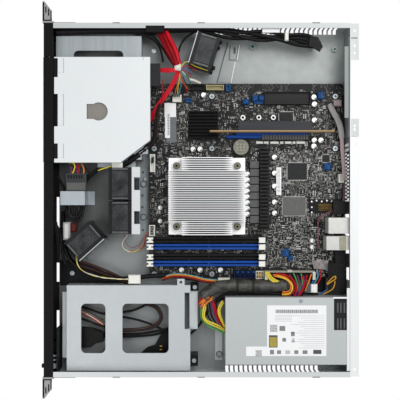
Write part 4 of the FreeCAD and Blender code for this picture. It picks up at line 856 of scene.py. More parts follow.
# grey sector on each can top: partly the can's own mark, partly painted shade on one side of it
def markCans(bm):
    for low, high in boxesOf("capacitors"):
        middle = (low + high) / 2
        radius = (high.x - low.x) / 2 * canMarks["share"]
        outline = []
        for step in range(canMarks["steps"] + 1):
            angle = math.radians(canMarks["start"] + canMarks["sweep"] * step / canMarks["steps"])
            outline.append((middle.x + radius * math.cos(angle), middle.y + radius * math.sin(angle)))
        plate(bm, outline, high.z, high.z + canMarks["height"])


solid("canMarks", ["markAndShadeGrey"], markCans)

chipLegs = {"pitch": 0.00125, "width": 0.0006, "reach": 0.0013, "height": 0.0005, "skip": 0.035,
            "bare": (-0.078, 0.03)}  # chips in front of this corner show no legs


def growLegs(bm):
    for low, high in boxesOf("chips"):
        hidden = high.x < chipLegs["bare"][0] and high.y < chipLegs["bare"][1]
        if high.x - low.x > chipLegs["skip"] or hidden:
            continue
        for axis in (0, 1):
            other = 1 - axis
            number = int((high[axis] - low[axis]) / chipLegs["pitch"])
            start = (low[axis] + high[axis]) / 2 - (number - 1) * chipLegs["pitch"] / 2
            for index in range(number):
                spot = start + index * chipLegs["pitch"]
                for edge, sign in ((low[other], -1), (high[other], 1)):
                    span = sorted((edge, edge + sign * chipLegs["reach"]))
                    corner = [0, 0, low.z]
                    far = [0, 0, low.z + chipLegs["height"]]
                    corner[axis], far[axis] = spot - chipLegs["width"] / 2, spot + chipLegs["width"] / 2
                    corner[other], far[other] = span
                    block(bm, corner, far)


solid("chipLegs", ["solder"], growLegs)

driveLips = {"raise": 0.0005, "edge": 0.0004, "front": -0.1727, "rear": -0.1662,
             "spans": [(-0.1715, -0.1545), (-0.1285, -0.0905), (-0.0683, -0.0512)],
             "valley": {"side": 0.0004, "deep": 0.0011, "raise": 0.0001}}


def raiseLips(bm):
    spots = [(start, driveLips["front"], end, driveLips["rear"]) for start, end in driveLips["spans"]]
    blocks(bm, spots, driveTop, driveTop + driveLips["raise"], 0, driveLips["edge"])


def shadeLips(bm):
    valley, rear = driveLips["valley"], driveLips["rear"]
    spots = [(start - valley["side"], rear, end + valley["side"], rear + valley["deep"])
             for start, end in driveLips["spans"]]
    blocks(bm, spots, driveTop, driveTop + valley["raise"])


solid("driveLips", ["driveSteel"], raiseLips)
solid("lipValleys", ["lipShade"], shadeLips)

screwHeads = {  # x, y, base and radius
    "canSilver": [(-0.1885, -0.0582, 0.0012, 0.0032)],
    "screwSteel": [(0.0925, -0.1614, 0.0020, 0.0032), (0.1228, 0.1227, 0.0418, 0.0022),
                   (-0.0655, -0.0744, 0.0035, 0.0030), (-0.0264, -0.0690, 0.0035, 0.0026),
                   (-0.1695, -0.1745, 0.0395, 0.0013), (-0.0528, -0.1745, 0.0395, 0.0013),
                   (-0.1715, -0.0690, 0.0422, 0.0008), (-0.0705, -0.0626, 0.0422, 0.0008)],
}
headShape = {"rise": 0.45, "edge": 0.2, "socket": 0.45, "sink": 0.35}  # shares of the radius


def driveScrews(bm):
    for slot, heads in enumerate(screwHeads.values()):
        for x, y, z, radius in heads:
            disc(bm, (x, y), radius, z, z + radius * headShape["rise"], slot, edge=radius * headShape["edge"],
                 hole=radius * headShape["socket"], sink=radius * headShape["sink"])


solid("screwHeads", list(screwHeads), driveScrews)

supplyLabel = {  # marks go down from the label's corner and then across it
    "thick": 0.00014, "ink": 0.00003, "main": (0.1280, 0.0815, 0.1895, 0.1535),
    "strip": (0.1780, 0.0560, 0.1895, 0.0815), "rule": 0.0005,
    "bars": {"count": 54, "down": 0.0052, "tall": 0.0043, "start": 0.0105, "pitch": 0.00095,
             "widths": (0.5, 0.8, 0.4, 0.7, 0.55)},
    "lines": [(16, 0.0125, 0.0026, (0.40, 0.56, 0.62, 0.52), 0.97), (5, 0.0120, 0.0017, (0.13,), 0.42)],
    "grids": [(0.0235, 0.0035, 0.0088, 0.0090), (0.0543, -0.0140, 0.0075, 0.0075)], "cells": 9,
    "badge": (0.0362, 0.0022, 0.0150, 0.0105), "edge": 0.0008,
    "blocks": [(0.0395, 0.0185, 0.0045, 0.0045, 4), (0.0540, 0.0560, 0.0050, 0.0100, 2),
               (0.0540, 0.0035, 0.0055, 0.0050, 4), (0.0545, 0.0120, 0.0045, 0.0050, 4),
               (0.0545, 0.0220, 0.0045, 0.0060, 1), (0.0545, 0.0330, 0.0045, 0.0050, 4),
               (0.0545, 0.0430, 0.0045, 0.0060, 4), (0.0250, 0.0150, 0.0060, 0.0070, 4),
               (0.0320, 0.0290, 0.0055, 0.0045, 4), (0.0400, 0.0300, 0.0050, 0.0035, 1)],
}


def stickLabel(bm):  # plain label with generic bars and blocks
    top = supplyTop + supplyLabel["thick"]
    ink = top + supplyLabel["ink"]
    x0, y0, x1, y1 = supplyLabel["main"]
    blocks(bm, [supplyLabel["strip"], supplyLabel["main"]], supplyTop, top)

    def stamp(down, across, tall, wide, shade, base=top):
        block(bm, (x0 + down, y0 + across, base),
              (x0 + down + tall, y0 + across + wide, base + supplyLabel["ink"]), shade)

    bars = supplyLabel["bars"]
    for index in range(bars["count"]):
        thick = bars["pitch"] * bars["widths"][index % len(bars["widths"])]
        stamp(bars["down"], bars["start"] + index * bars["pitch"], bars["tall"], thick, 2)
    for count, down, pitch, starts, end in supplyLabel["lines"]:
        for index in range(count):
            start = starts[index % len(starts)]
            stamp(down + index * pitch, start * (y1 - y0), supplyLabel["rule"], (end - start) * (y1 - y0), 1)
    count = supplyLabel["cells"]
    for down, across, tall, wide in supplyLabel["grids"]:
        high, broad = tall / count, wide / count
        for row in range(count):
            for column in range(row % 2, count, 2):
                stamp(down + row * high, across + column * broad, high, broad, 2)
    down, across, tall, wide = supplyLabel["badge"]
    edge = supplyLabel["edge"]
    stamp(down, across, tall, wide, 2)
    stamp(down + edge * 3, across + edge, tall - edge * 4, wide - edge * 2, 3, ink)
    for mark in supplyLabel["blocks"]:
        stamp(*mark)


solid("supplyLabel", ["paperWhiteAndHighlight", "paperInk", "markAndShadeGrey", "badge", "inkGrey"], stickLabel)

boardLabels = {
    "spots": [(-0.1216, -0.0445, 0.0106, -0.1040, -0.0301), (-0.1040, -0.0439, 0.0106, -0.0777, -0.0376),
              (-0.0410, 0.0955, 0.0118, -0.0062, 0.1018)],
    "bars": [  # base, from, to, pitch, near and far edge
        (0.0106, -0.1080, -0.0800, 0.0011, -0.0408, -0.0382),
        (0.0118, -0.0380, -0.0090, 0.0016, 0.0966, 0.1004)],
    "thick": 0.0002, "ink": 0.00005, "widths": (0.35, 0.6, 0.45),
}


def stickBoard(bm):
    thick, widths = boardLabels["thick"], boardLabels["widths"]
    for x0, y0, z, x1, y1 in boardLabels["spots"]:
        block(bm, (x0, y0, z), (x1, y1, z + thick))
    for slot, (base, first, last, pitch, near, far) in enumerate(boardLabels["bars"], 1):
        z = base + thick
        for index in range(int((last - first) / pitch)):
            x = first + index * pitch
            width = pitch * widths[index % len(widths)]
            block(bm, (x, near, z), (x + width, far, z + boardLabels["ink"]), slot)


solid("boardLabels", ["paperWhiteAndHighlight", "markAndShadeGrey", "paperInk"], stickBoard)

plugs = {  # low corner, high corner, finish, edge
    "sataPlug": ((-0.0325, -0.1640, 0.0200), (-0.0115, -0.1400, 0.0330), "chipGrey", 0.0010),
    "sataPlugTop": ((-0.0320, -0.1628, 0.0330), (-0.0215, -0.1412, 0.0340), "slotGrey", 0.0006),
    "rearPlug": ((-0.1253, 0.1660, 0.0092), (-0.1172, 0.1773, 0.0150), "ribbonPink", 0.0012),
    "leadPlug": ((-0.0468, -0.1085, 0.0250), (-0.0390, -0.0950, 0.0325), "whiteNylon", 0.0008),
    "fanPlug": ((0.0275, -0.1680, 0.0240), (0.0490, -0.1595, 0.0330), "portMetal", 0.0020),
    "fanPlugRed": ((0.0285, -0.1595, 0.0240), (0.0395, -0.1520, 0.0300), "plugRed", 0.0015),
    "leadClip": ((0.0925, -0.0885, 0.0190), (0.1035, -0.0735, 0.0275), "whiteNylon", 0.0010),
    "ribbonPlug": ((0.0960, 0.0221, 0.0205), (0.1060, 0.0370, 0.0285), "creamNylon", 0.0010),
    "ribbonTie": ((-0.1660, -0.0312, 0.0300), (-0.1582, -0.0232, 0.0402), "whiteNylon", 0.0028),
    "smallPlug": ((0.1035, 0.1365, 0.0240), (0.1140, 0.1445, 0.0300), "whiteNylon", 0.0010),
    "cableTie": ((-0.2040, 0.1035, 0.0330), (-0.1945, 0.1080, 0.0390), "whiteNylon", 0.0008),
    "cableTag": ((-0.2100, 0.0760, 0.0385), (-0.2040, 0.0970, 0.0392), "paperWhiteAndHighlight", 0.0001),
    "slotGuard": ((-0.0812, 0.0770, 0.0092), (-0.0748, 0.1360, 0.0206), "slotGrey", 0.0010),
    "slotSide": ((-0.0806, 0.0325, 0.0092), (-0.0769, 0.0770, 0.0190), "blueSlot", 0.0006),
    "insulator": ((0.0780, 0.1585, 0.0222), (0.1165, 0.1815, 0.0228), "blackPlastic", 0.0002),
    "jackBlock": ((0.0448, 0.1700, 0.0366), (0.0610, 0.1785, 0.0369), "oliveMetal", 0.0001),
    "filmLow": ((0.0985, 0.1395, 0.0012), (0.1165, 0.1590, 0.0018), "blackPlastic", 0.0002),
    "clearCover": ((-0.1130, -0.0425, 0.0092), (-0.0720, -0.0295, 0.0104), "clearGrey", 0.0004),
    # the supply fan's top, with painted reflections
    "supplyFanTop": ((0.1240, 0.1635, 0.0398), (0.1580, 0.1795, 0.0400), "fanPaintedSheen", 0.0),
    "supplyLip": ((0.1178, 0.1615, 0.0418), (0.1198, 0.1810, 0.0424), "paperWhiteAndHighlight", 0.0002),
    "rearRim": ((0.1069, 0.1783, 0.0418), (0.2075, 0.1820, 0.0430), "rearSteel", 0.0003),
}
for name, (low, high, look, edge) in plugs.items():
    solid(name, [look], lambda bm: block(bm, low, high, 0, edge))

plates = {  # outline, bottom, top and finish
    "floorStep": ([(-0.1979, 0.0362), (-0.1493, 0.0215), (-0.1480, 0.0380), (-0.1746, 0.0443),
                   (-0.1771, 0.0498), (-0.1979, 0.0498)], 0.0010, 0.0018, "floorSteel"),
    "clearFilm": ([(0.0775, 0.1398), (0.0738, 0.1473), (0.0757, 0.1598), (0.0875, 0.1598), (0.0856, 0.1423)],
                  0.0148, 0.0151, "filmGrey"),
    "bayPlug": ([(0.1590, -0.1495), (0.1600, -0.1357), (0.1632, -0.1270), (0.1662, -0.1205),
                 (0.1770, -0.1205), (0.1785, -0.1295), (0.1835, -0.1357), (0.1840, -0.1495)],
                0.0060, 0.0170, "blackPlastic"),
    "floorMat": ([(0.0760, -0.1770), (0.1080, -0.1770), (0.1080, -0.0900), (0.1010, -0.0930),
                  (0.0950, -0.1090), (0.0880, -0.1290), (0.0830, -0.1480), (0.0760, -0.1560)],
                 0.0012, 0.0020, "blackPlastic"),
}
for name, (outline, low, high, look) in plates.items():
    solid(name, [look], lambda bm: plate(bm, outline, low, high))

slotDetail = {
    "ribs": 17, "from": 0.0775, "to": 0.1355, "share": 0.45, "rib": (-0.0810, -0.0750),
    "ribSpan": (0.0206, 0.0210), "strip": (-0.0735, -0.0705), "stripSpan": (0.0092, 0.0125), "edge": 0.0003,
    "strips": [(0.0705, 0.0790), (0.0800, 0.0860), (0.0880, 0.0985), (0.1005, 0.1045), (0.1065, 0.1145),
               (0.1160, 0.1195), (0.1210, 0.1310)],
}


def ribSlot(bm):  # ribs on the card slot's guard, and the broken pale strip in front of it
    pitch = (slotDetail["to"] - slotDetail["from"]) / slotDetail["ribs"]
    left, right = slotDetail["rib"]
    for index in range(slotDetail["ribs"]):
        y = slotDetail["from"] + index * pitch
        blocks(bm, [(left, y, right, y + pitch * slotDetail["share"])], *slotDetail["ribSpan"], 1)
    left, right = slotDetail["strip"]
    strips = [(left, start, right, end) for start, end in slotDetail["strips"]]
    blocks(bm, strips, *slotDetail["stripSpan"], 0, slotDetail["edge"])


solid("slotDetail", ["whiteNylon", "chipGrey"], ribSlot)

cellStamp = {"spot": (-0.066, 0.0512), "rings": (0.0086, 0.0078), "teeth": 28, "tooth": 0.0007,
             "lift": 0.00012, "rows": 3, "pitch": (0.0034, 0.0042), "bar": (-0.0009, -0.0014, 0.0009, 0.0012)}


def stampCell(bm):  # pressed ring and short bars on the coin cell
    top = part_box("coin_cell")[1][2]
    x, y = cellStamp["spot"]
    outer, inner = cellStamp["rings"]
    half, lift = cellStamp["tooth"], cellStamp["lift"]
    for index in range(cellStamp["teeth"]):
        turn = Matrix.Rotation(2 * math.pi * index / cellStamp["teeth"], 4, "Z")
        block(bm, (inner, -half, 0), (outer, half, lift), turn=Matrix.Translation((x, y, top)) @ turn)
    x0, y0, x1, y1 = cellStamp["bar"]
    for row in range(cellStamp["rows"]):
        for column in range(cellStamp["rows"]):
            dx = x + (row - 1) * cellStamp["pitch"][0]
            dy = y + (column - 1) * cellStamp["pitch"][1]
            block(bm, (dx + x0, dy + y0, top), (dx + x1, dy + y1, top + lift))


solid("cellStamp", ["oliveMetal"], stampCell)

pinGaps = {"count": 9, "width": 0.0012, "lift": 0.00005, "inset": 0.0002}


def crossSink(bm):  # painted shade: black strips stand for the cross cuts that turn the small heatsink's fins into pins, seen dark
    low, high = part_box("chipset_heatsink")
    pitch = (high[1] - low[1]) / pinGaps["count"]
    for index in range(1, pinGaps["count"]):
        y = low[1] + index * pitch
        block(bm, (low[0] + pinGaps["inset"], y - pinGaps["width"] / 2, high[2]),
              (high[0] - pinGaps["inset"], y + pinGaps["width"] / 2, high[2] + pinGaps["lift"]))


solid("pinGaps", ["shadeBlack"], crossSink)

screwCross = {"half": 0.0020, "width": 0.0005, "lift": 0.00008, "above": 0.0105}


# painted shade: a grey cross for the cross socket in each high screw head
def crossScrews(bm):
    half, width = screwCross["half"], screwCross["width"]
    for low, high in boxesOf("board_fasteners"):
        if high.z < screwCross["above"]:
            continue
        x, y = (low.x + high.x) / 2, (low.y + high.y) / 2
        arms = [(x - half, y - width, x + half, y + width), (x - width, y - half, x + width, y + half)]
        blocks(bm, arms, high.z, high.z + screwCross["lift"])


solid("screwCross", ["markAndShadeGrey"], crossScrews)

ventDots = {"from": -0.058, "to": 0.0, "count": 13, "face": 0.1818, "span": (0.0100, 0.0415), "rise": 0.0090,
            "rows": (0.0140, 0.0285), "margin": 0.001, "share": 0.5, "back": 0.0002, "dot": (0.0004, 0.0001)}


def dotVents(bm):  # painted light and shade: glowing dots stand for light through the rear panel's air holes, on a black plate that paints the shade between them
    pitch = (ventDots["to"] - ventDots["from"]) / ventDots["count"]
    face = ventDots["face"]
    low, high = ventDots["span"]
    near, far = [face - depth for depth in ventDots["dot"]]
    block(bm, (ventDots["from"] - ventDots["margin"], face - ventDots["back"], low),
          (ventDots["to"], face, high), 1)
    for index in range(ventDots["count"]):
        for row, z in enumerate(ventDots["rows"]):
            start = ventDots["from"] + (index + row * ventDots["share"]) * pitch
            block(bm, (start, near, z), (start + pitch * ventDots["share"], far, z + ventDots["rise"]), 0)


solid("ventDots", ["holeLight", "blackPlastic"], dotVents)

earLines = {"low": 0.0432, "high": 0.0434, "strips": [  # on the right ear
    (0.2172, -0.1910, 0.2395, -0.1890), (0.2172, -0.1890, 0.2187, -0.1800),
    (0.2187, -0.1813, 0.2298, -0.1800), (0.2272, -0.1877, 0.2345, -0.1862),
    (0.2236, -0.1843, 0.2320, -0.1828)]}


def lineEars(bm):
    strips = earLines["strips"]
    mirrored = [(-x1, y0, -x0, y1) for x0, y0, x1, y1 in strips]
    blocks(bm, mirrored + strips, earLines["low"], earLines["high"])


solid("earLines", ["bezelBlack"], lineEars)

chokeGaps = {"width": 0.0012, "lift": 0.00015, "drop": 0.002, "level": 0.001, "most": 0.004}


def gapChokes(bm):  # painted shade: black blocks in the gaps between neighbouring chokes
    boxes = sorted(boxesOf("chokes"), key=lambda box: (box[0].y, box[0].x))
    for (low, high), following in zip(boxes, boxes[1:]):
        after = following[0]
        if abs(after.y - low.y) > chokeGaps["level"] or after.x - high.x > chokeGaps["most"]:
            continue
        middle = (high.x + after.x) / 2
        half = chokeGaps["width"] / 2
        block(bm, (middle - half, low.y, high.z - chokeGaps["drop"]),
              (middle + half, high.y, high.z + chokeGaps["lift"]))


solid("chokeGaps", ["shadeBlack"], gapChokes)

headerSlots = {"span": (0.0165, 0.0207), "plain": [(-0.0530, -0.0605, -0.0460, -0.0578)],
               "count": 4, "share": 0.6, "split": [  # axis along the row, near and far corner
                   (1, (-0.1312, -0.0345), (-0.1285, -0.0240)), (0, (0.0325, -0.0610), (0.0440, -0.0585))]}


def slotHeaders(bm):  # dark openings in the pale wire headers
    spots = list(headerSlots["plain"])
    for axis, near, far in headerSlots["split"]:
        step = (far[axis] - near[axis]) / headerSlots["count"]
        for index in range(headerSlots["count"]):
            low, high = list(near), list(far)
            low[axis] += step * index
            high[axis] = low[axis] + step * headerSlots["share"]
            spots.append((*low, *high))
    blocks(bm, spots, *headerSlots["span"])


solid("headerSlots", ["chipPlastic"], slotHeaders)

postBlocks = {"spots": [(0.1033, -0.0110, 0.1118, -0.0018), (0.1914, -0.0122, 0.2048, -0.0024)],
              "low": 0.0012, "top": 0.0270, "edge": 0.0008, "radius": 0.0027, "rise": 0.0012,
              "screw": {"sides": 18, "edge": 0.0004, "hole": 0.0013, "sink": 0.0009}}


def raisePosts(bm):
    top = postBlocks["top"]
    blocks(bm, postBlocks["spots"], postBlocks["low"], top, 0, postBlocks["edge"])
    for x0, y0, x1, y1 in postBlocks["spots"]:
        middle = ((x0 + x1) / 2, (y0 + y1) / 2)
        disc(bm, middle, postBlocks["radius"], top, top + postBlocks["rise"], 1, **postBlocks["screw"])


solid("postBlocks", ["blackPlastic", "screwSteel"], raisePosts)

headerRows = {"base": (-0.0010, 0.1368, 0.0165, 0.1768), "baseRise": 0.0025, "baseEdge": 0.0004,
              "pins": (0.0045, 0.1480, 0.0135, 0.1650), "rows": 5, "count": 7, "pin": 0.00045,
              "pinRise": 0.0034, "pinEdge": 0.0002, "dot": 0.0011, "dotRise": 0.0003, "dotSides": 12,
              "dots": [(0.002, 0.1400), (0.009, 0.1400), (0.0155, 0.1400), (0.0008, 0.1460),
                       (0.0018, 0.1525), (0.0008, 0.1590), (0.0018, 0.1650)]}


def standPins(bm):
    top = boardTop + headerRows["baseRise"]
    blocks(bm, [headerRows["base"]], boardTop, top, 1, headerRows["baseEdge"])
    for spot in headerRows["dots"]:
        disc(bm, spot, headerRows["dot"], top, top + headerRows["dotRise"], 2, headerRows["dotSides"])
    x0, y0, x1, y1 = headerRows["pins"]
    rows, count, pin = headerRows["rows"], headerRows["count"], headerRows["pin"]
    for row in range(rows):
        for index in range(count):  # every second row is set back by half a pitch
            x = x0 + (x1 - x0) * (row + 0.5) / rows
            y = y0 + (y1 - y0) * (index + 0.25 + row % 2 * 0.5) / count
            block(bm, (x - pin, y - pin, top), (x + pin, y + pin, top + headerRows["pinRise"]), 0,
                  headerRows["pinEdge"])


solid("headerRows", ["gold", "blackPlastic", "paperWhiteAndHighlight"], standPins)

blueHeads = {"spots": [(-0.1255, 0.0535, -0.1195, 0.0612), (-0.1305, 0.0655, -0.1235, 0.0722),
                       (-0.1300, 0.0735, -0.1240, 0.0800), (-0.1345, 0.1470, -0.1260, 0.1545),
                       (-0.0455, 0.1550, -0.0375, 0.1630), (0.0615, 0.1030, 0.0705, 0.1110),
                       (0.0705, 0.1105, 0.0755, 0.1160)], "height": 0.008, "edge": 0.0014,
             "slot": {"side": 0.0018, "near": 0.0026, "far": 0.0034, "lift": 0.0001},
             "tab": {"wide": 0.0012, "deep": 0.0030, "drop": 0.003, "edge": 0.0006}}


def setHeads(bm):
    top = boardTop + blueHeads["height"]
    slot, tab = blueHeads["slot"], blueHeads["tab"]
    blocks(bm, blueHeads["spots"], boardTop, top, 0, blueHeads["edge"])
    for x0, y0, x1, y1 in blueHeads["spots"]:
        block(bm, (x0 + slot["side"], y0 + slot["near"], top),
              (x1 - slot["side"], y0 + slot["far"], top + slot["lift"]), 1)
        block(bm, (x0 - tab["wide"], y1 - tab["deep"], boardTop), (x0, y1, top - tab["drop"]), 0, tab["edge"])


solid("blueHeads", ["headerBlue", "darkBlue"], setHeads)

plugPins = {"area": (0.0905, 0.0712, 0.0965, 0.0772), "rows": 3, "columns": 2, "half": (0.0008, 0.0011),
            "span": (0.0171, 0.0214), "edge": 0.0002}


def goldPins(bm):
    x0, y0, x1, y1 = plugPins["area"]
    wide, deep = plugPins["half"]
    for row in range(plugPins["rows"]):
        for column in range(plugPins["columns"]):
            x = x0 + (x1 - x0) * (row + 0.5) / plugPins["rows"]
            y = y0 + (y1 - y0) * (column + 0.5) / plugPins["columns"]
            blocks(bm, [(x - wide, y - deep, x + wide, y + deep)], *plugPins["span"], 0, plugPins["edge"])


solid("plugPins", ["gold"], goldPins)

fanTops = {"turns": {"main_fan_left": 0.0, "main_fan_right": 0.0, "corner_fan": -48.4, "side_fan": -16.7},
           "panel": (0.0155, 0.0096), "rail": (0.0168, 0.0190), "low": 0.0407, "high": 0.0411, "skin": 0.0002,
           "edge": 0.0004}


def fanPlace(name):  # middle and turn of a fan's frame
    low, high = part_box(name + "_frame")
    middle = ((low[0] + high[0]) / 2, (low[1] + high[1]) / 2, 0)
    return Matrix.Translation(middle) @ Matrix.Rotation(math.radians(fanTops["turns"][name]), 4, "Z")


def dressFans(bm):  # glossy side panel, its colour streaked with painted reflections, between two rails painted pale as highlights
    wide, deep = fanTops["panel"]
    inner, outer = fanTops["rail"]
    bottom, top = fanTops["low"], fanTops["high"]
    for name in fanTops["turns"]:
        turn = fanPlace(name)
        block(bm, (-wide, -deep, bottom), (wide, deep, bottom + fanTops["skin"]), turn=turn)
        for near, far in ((-outer, -inner), (inner, outer)):
            block(bm, (near, -deep, bottom), (far, deep, top), 1, fanTops["edge"], turn)


solid("fanTops", ["fanPaintedSheen", "fanRailHighlight"], dressFans)

fanHooks = {"fan": "side_fan", "low": 0.030, "high": 0.039, "edge": 0.0008, "spots": [  # from its middle
    (-0.0175, 0.0138, -0.0145, 0.0172), (-0.0095, 0.0138, -0.0065, 0.0168),
    (0.0150, 0.0138, 0.0185, 0.0180), (0.0196, 0.0125, 0.0245, 0.0165)]}


def hookFan(bm):  # rubber mounts along the side fan
    for x0, y0, x1, y1 in fanHooks["spots"]:
        block(bm, (x0, y0, fanHooks["low"]), (x1, y1, fanHooks["high"]), 0, fanHooks["edge"],
              fanPlace(fanHooks["fan"]))


solid("fanHooks", ["blackPlastic"], hookFan)

boltShape = {"rise": 0.0014, "edge": 0.0006, "socket": 0.45, "sink": 0.0008}


def bolt(bm, spot, radius, base, slot):
    disc(bm, spot, radius, base, base + boltShape["rise"], slot, edge=boltShape["edge"],
         hole=radius * boltShape["socket"], sink=boltShape["sink"])


plateClips = {
    "clips": [(-0.0265, -0.0800, -0.0120, -0.0748), (0.0140, -0.0800, 0.0290, -0.0748)],
    "low": 0.028, "high": 0.034, "edge": 0.001, "foot": 0.0020,
    "bolts": [(-0.0200, -0.0715), (0.0216, -0.0715)], "radius": 0.0033, "washer": 1.3, "washerRise": 0.0004,
    "holes": [(-0.0056, -0.0728), (0.0090, -0.0728), (-0.0350, -0.0722), (0.0381, -0.0722)],
    "hole": 0.0016, "holeRise": 0.0003, "holeSides": 14,
}


def clipPlate(bm):  # dark clips and screws along the fan plate, and grey discs painted as shade in its holes
    foot, radius = plateClips["foot"], plateClips["radius"]
    blocks(bm, plateClips["clips"], plateClips["low"], plateClips["high"], 0, plateClips["edge"])
    for spot in plateClips["bolts"]:
        disc(bm, spot, radius * plateClips["washer"], foot, foot + plateClips["washerRise"], 2)
        bolt(bm, spot, radius, foot, 1)
    for spot in plateClips["holes"]:
        disc(bm, spot, plateClips["hole"], foot, foot + plateClips["holeRise"], 2, plateClips["holeSides"])


solid("plateClips", ["slotGrey", "screwSteel", "markAndShadeGrey"], clipPlate)

supplyFoot = {"low": (0.1646, 0.0190, 0.0010), "high": (0.2025, 0.0285, 0.0024), "edge": 0.0004,
              "bolt": (0.1950, 0.0243), "radius": 0.0034, "washer": 1.25, "washerRise": 0.0002}


def footSupply(bm):  # bolted floor strip in front of the supply
    block(bm, supplyFoot["low"], supplyFoot["high"], 0, supplyFoot["edge"])
    top, radius = supplyFoot["high"][2], supplyFoot["radius"]
    disc(bm, supplyFoot["bolt"], radius * supplyFoot["washer"], top, top + supplyFoot["washerRise"], 1)
    bolt(bm, supplyFoot["bolt"], radius, top, 2)


solid("supplyFoot", ["supplySteel", "markAndShadeGrey", "screwSteel"], footSupply)

bossTops = {"spots": [(-0.1932, 0.0663), (-0.1919, 0.1402), (-0.1900, 0.1698)], "radius": 0.0029,
            "low": 0.0012, "high": 0.0062, "edge": 0.0006, "hole": 0.5, "holeRise": 0.0001, "holeSides": 16}


def ringBosses(bm):
    radius, top = bossTops["radius"], bossTops["high"]
    for spot in bossTops["spots"]:
        disc(bm, spot, radius, bossTops["low"], top, edge=bossTops["edge"])
        # painted shade: a black disc in each boss's hole
        disc(bm, spot, radius * bossTops["hole"], top, top + bossTops["holeRise"], 1, bossTops["holeSides"])


solid("bossTops", ["bossRing", "shadeBlack"], ringBosses)

floorLines = {"dark": [((-0.1999, 0.0354), (-0.1480, 0.0215)), ((-0.1955, 0.0382), (-0.1770, 0.0368)),
                       ((-0.1960, 0.0490), (-0.1770, 0.0458)), ((-0.1770, 0.0368), (-0.1770, 0.0458))],
              "bright": [((-0.1746, 0.0444), (-0.1480, 0.0392)), ((-0.1960, 0.0500), (-0.1770, 0.0468))],
              "slot": (-0.1930, 0.0425, -0.1850, 0.0450), "half": 0.0005, "low": 0.0010, "high": 0.0022}


def ruleFloor(bm):  # painted shade and highlight: dark and bright lines along the folds in the base of the side fan, and a dark plate painted as shade in its slot
    half = floorLines["half"]
    for slot, key in enumerate(("dark", "bright")):
        for (x0, y0), (x1, y1) in floorLines[key]:
            course = Vector((x1 - x0, y1 - y0)).normalized()
            dx, dy = -course.y * half, course.x * half
            outline = [(x0 - dx, y0 - dy), (x1 - dx, y1 - dy), (x1 + dx, y1 + dy), (x0 + dx, y0 + dy)]
            plate(bm, outline, floorLines["low"], floorLines["high"], slot)
    blocks(bm, [floorLines["slot"]], floorLines["low"], floorLines["high"])


solid("floorLines", ["markAndShadeGrey", "paperWhiteAndHighlight"], ruleFloor)

plugMouth = {"spot": (0.0923, 0.1109), "rim": 0.0022, "end": 0.0035, "lift": 0.0002}


def openPlug(bm):  # painted shade: a black plate for the dark wire mouths behind the plug's pale rim
    low, high = nearSolid("board_connectors", plugMouth["spot"])
    block(bm, (low.x + plugMouth["rim"], low.y + plugMouth["end"], high.z),
          (high.x, high.y - plugMouth["end"], high.z + plugMouth["lift"]))


solid("plugMouth", ["shadeBlack"], openPlug)

sataSlots = {"low": (-0.0305, -0.1615, 0.0340), "high": (-0.0262, -0.1425, 0.0341), "count": 6, "share": 0.5}


# painted shade: black strips for the slots in the plug's top
def slotSata(bm):
    low, high = sataSlots["low"], sataSlots["high"]
    pitch = (high[1] - low[1]) / sataSlots["count"]
    for index in range(sataSlots["count"]):
        y = low[1] + index * pitch
        block(bm, (low[0], y, low[2]), (high[0], y + pitch * sataSlots["share"], high[2]))


solid("sataSlots", ["shadeBlack"], slotSata)

latchCaps = {"rows": (0.0495, 0.058, 0.0703, 0.0788), "half": 0.0033, "span": (0.0727, 0.0804), "low": 0.0286,
             "high": 0.0290, "edge": 0.0003}
for row, middle in enumerate(latchCaps["rows"], 1):
    low = (middle - latchCaps["half"], latchCaps["span"][0], latchCaps["low"])
    high = (middle + latchCaps["half"], latchCaps["span"][1], latchCaps["high"])
    solid("latchCap.%d" % row, ["whiteNylon"], lambda bm: block(bm, low, high, 0, latchCaps["edge"]),
          "memory_latch_rear_%d" % row)

sinkPads = {"side": 0.0165, "base": 0.0205, "lift": 0.0001}


def padSink(bm):  # bare corners of the base under the four spring screws, in the lit copy of the aluminium
    low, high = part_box("processor_heatsink")
    side, base = sinkPads["side"], sinkPads["base"]
    spots = [(x, y, x + side, y + side) for x in (low[0], high[0] - side) for y in (low[1], high[1] - side)]
    blocks(bm, spots, base, base + sinkPads["lift"])


solid("sinkPads", ["sinkLitTop"], padSink)

screwTops = {"rim": 0.98, "top": 0.76, "socket": 0.36, "lift": 0.0002, "rise": 0.0005, "edge": 0.0002,
             "sides": 24}


def capScrews(bm):  # dark rim and sunk socket on each spring screw
    for low, high in boxesOf("heatsink_screws"):
        spot = ((low.x + high.x) / 2, (low.y + high.y) / 2)
        radius = (high.x - low.x) / 2
        base = high.z + screwTops["lift"]
        disc(bm, spot, radius * screwTops["rim"], high.z, base, 1, screwTops["sides"])
        disc(bm, spot, radius * screwTops["top"], base, base + screwTops["rise"], 0, screwTops["sides"],
             screwTops["edge"], radius * screwTops["socket"], screwTops["rise"])


solid("screwTops", ["screwOlive", "markAndShadeGrey"], capScrews)

supplyRibs = {"base": 0.0400, "lift": 0.0003, "rows": [(0.1665, 0.1685), (0.1705, 0.1722), (0.1748, 0.1765)],
              "spans": [(0.1250, 0.1372), (0.1440, 0.1565)]}


def ribSupply(bm):  # ribs of the supply's own fan, seen in the notch, painted pale as highlights
    spots = [(x0, y0, x1, y1) for y0, y1 in supplyRibs["rows"] for x0, x1 in supplyRibs["spans"]]
    blocks(bm, spots, supplyRibs["base"], supplyRibs["base"] + supplyRibs["lift"])


solid("supplyRibs", ["fanRailHighlight"], ribSupply)

extraCans = {"spots": [(0.0507, 0.1400), (0.0587, 0.1400), (0.0096, -0.0499), (0.0263, -0.0499)],
             "radius": 0.0027, "top": 0.0160, "edge": 0.0004, "mark": (-0.0018, 0.0008, 0.0018, 0.0017),
             "lift": 0.0001}


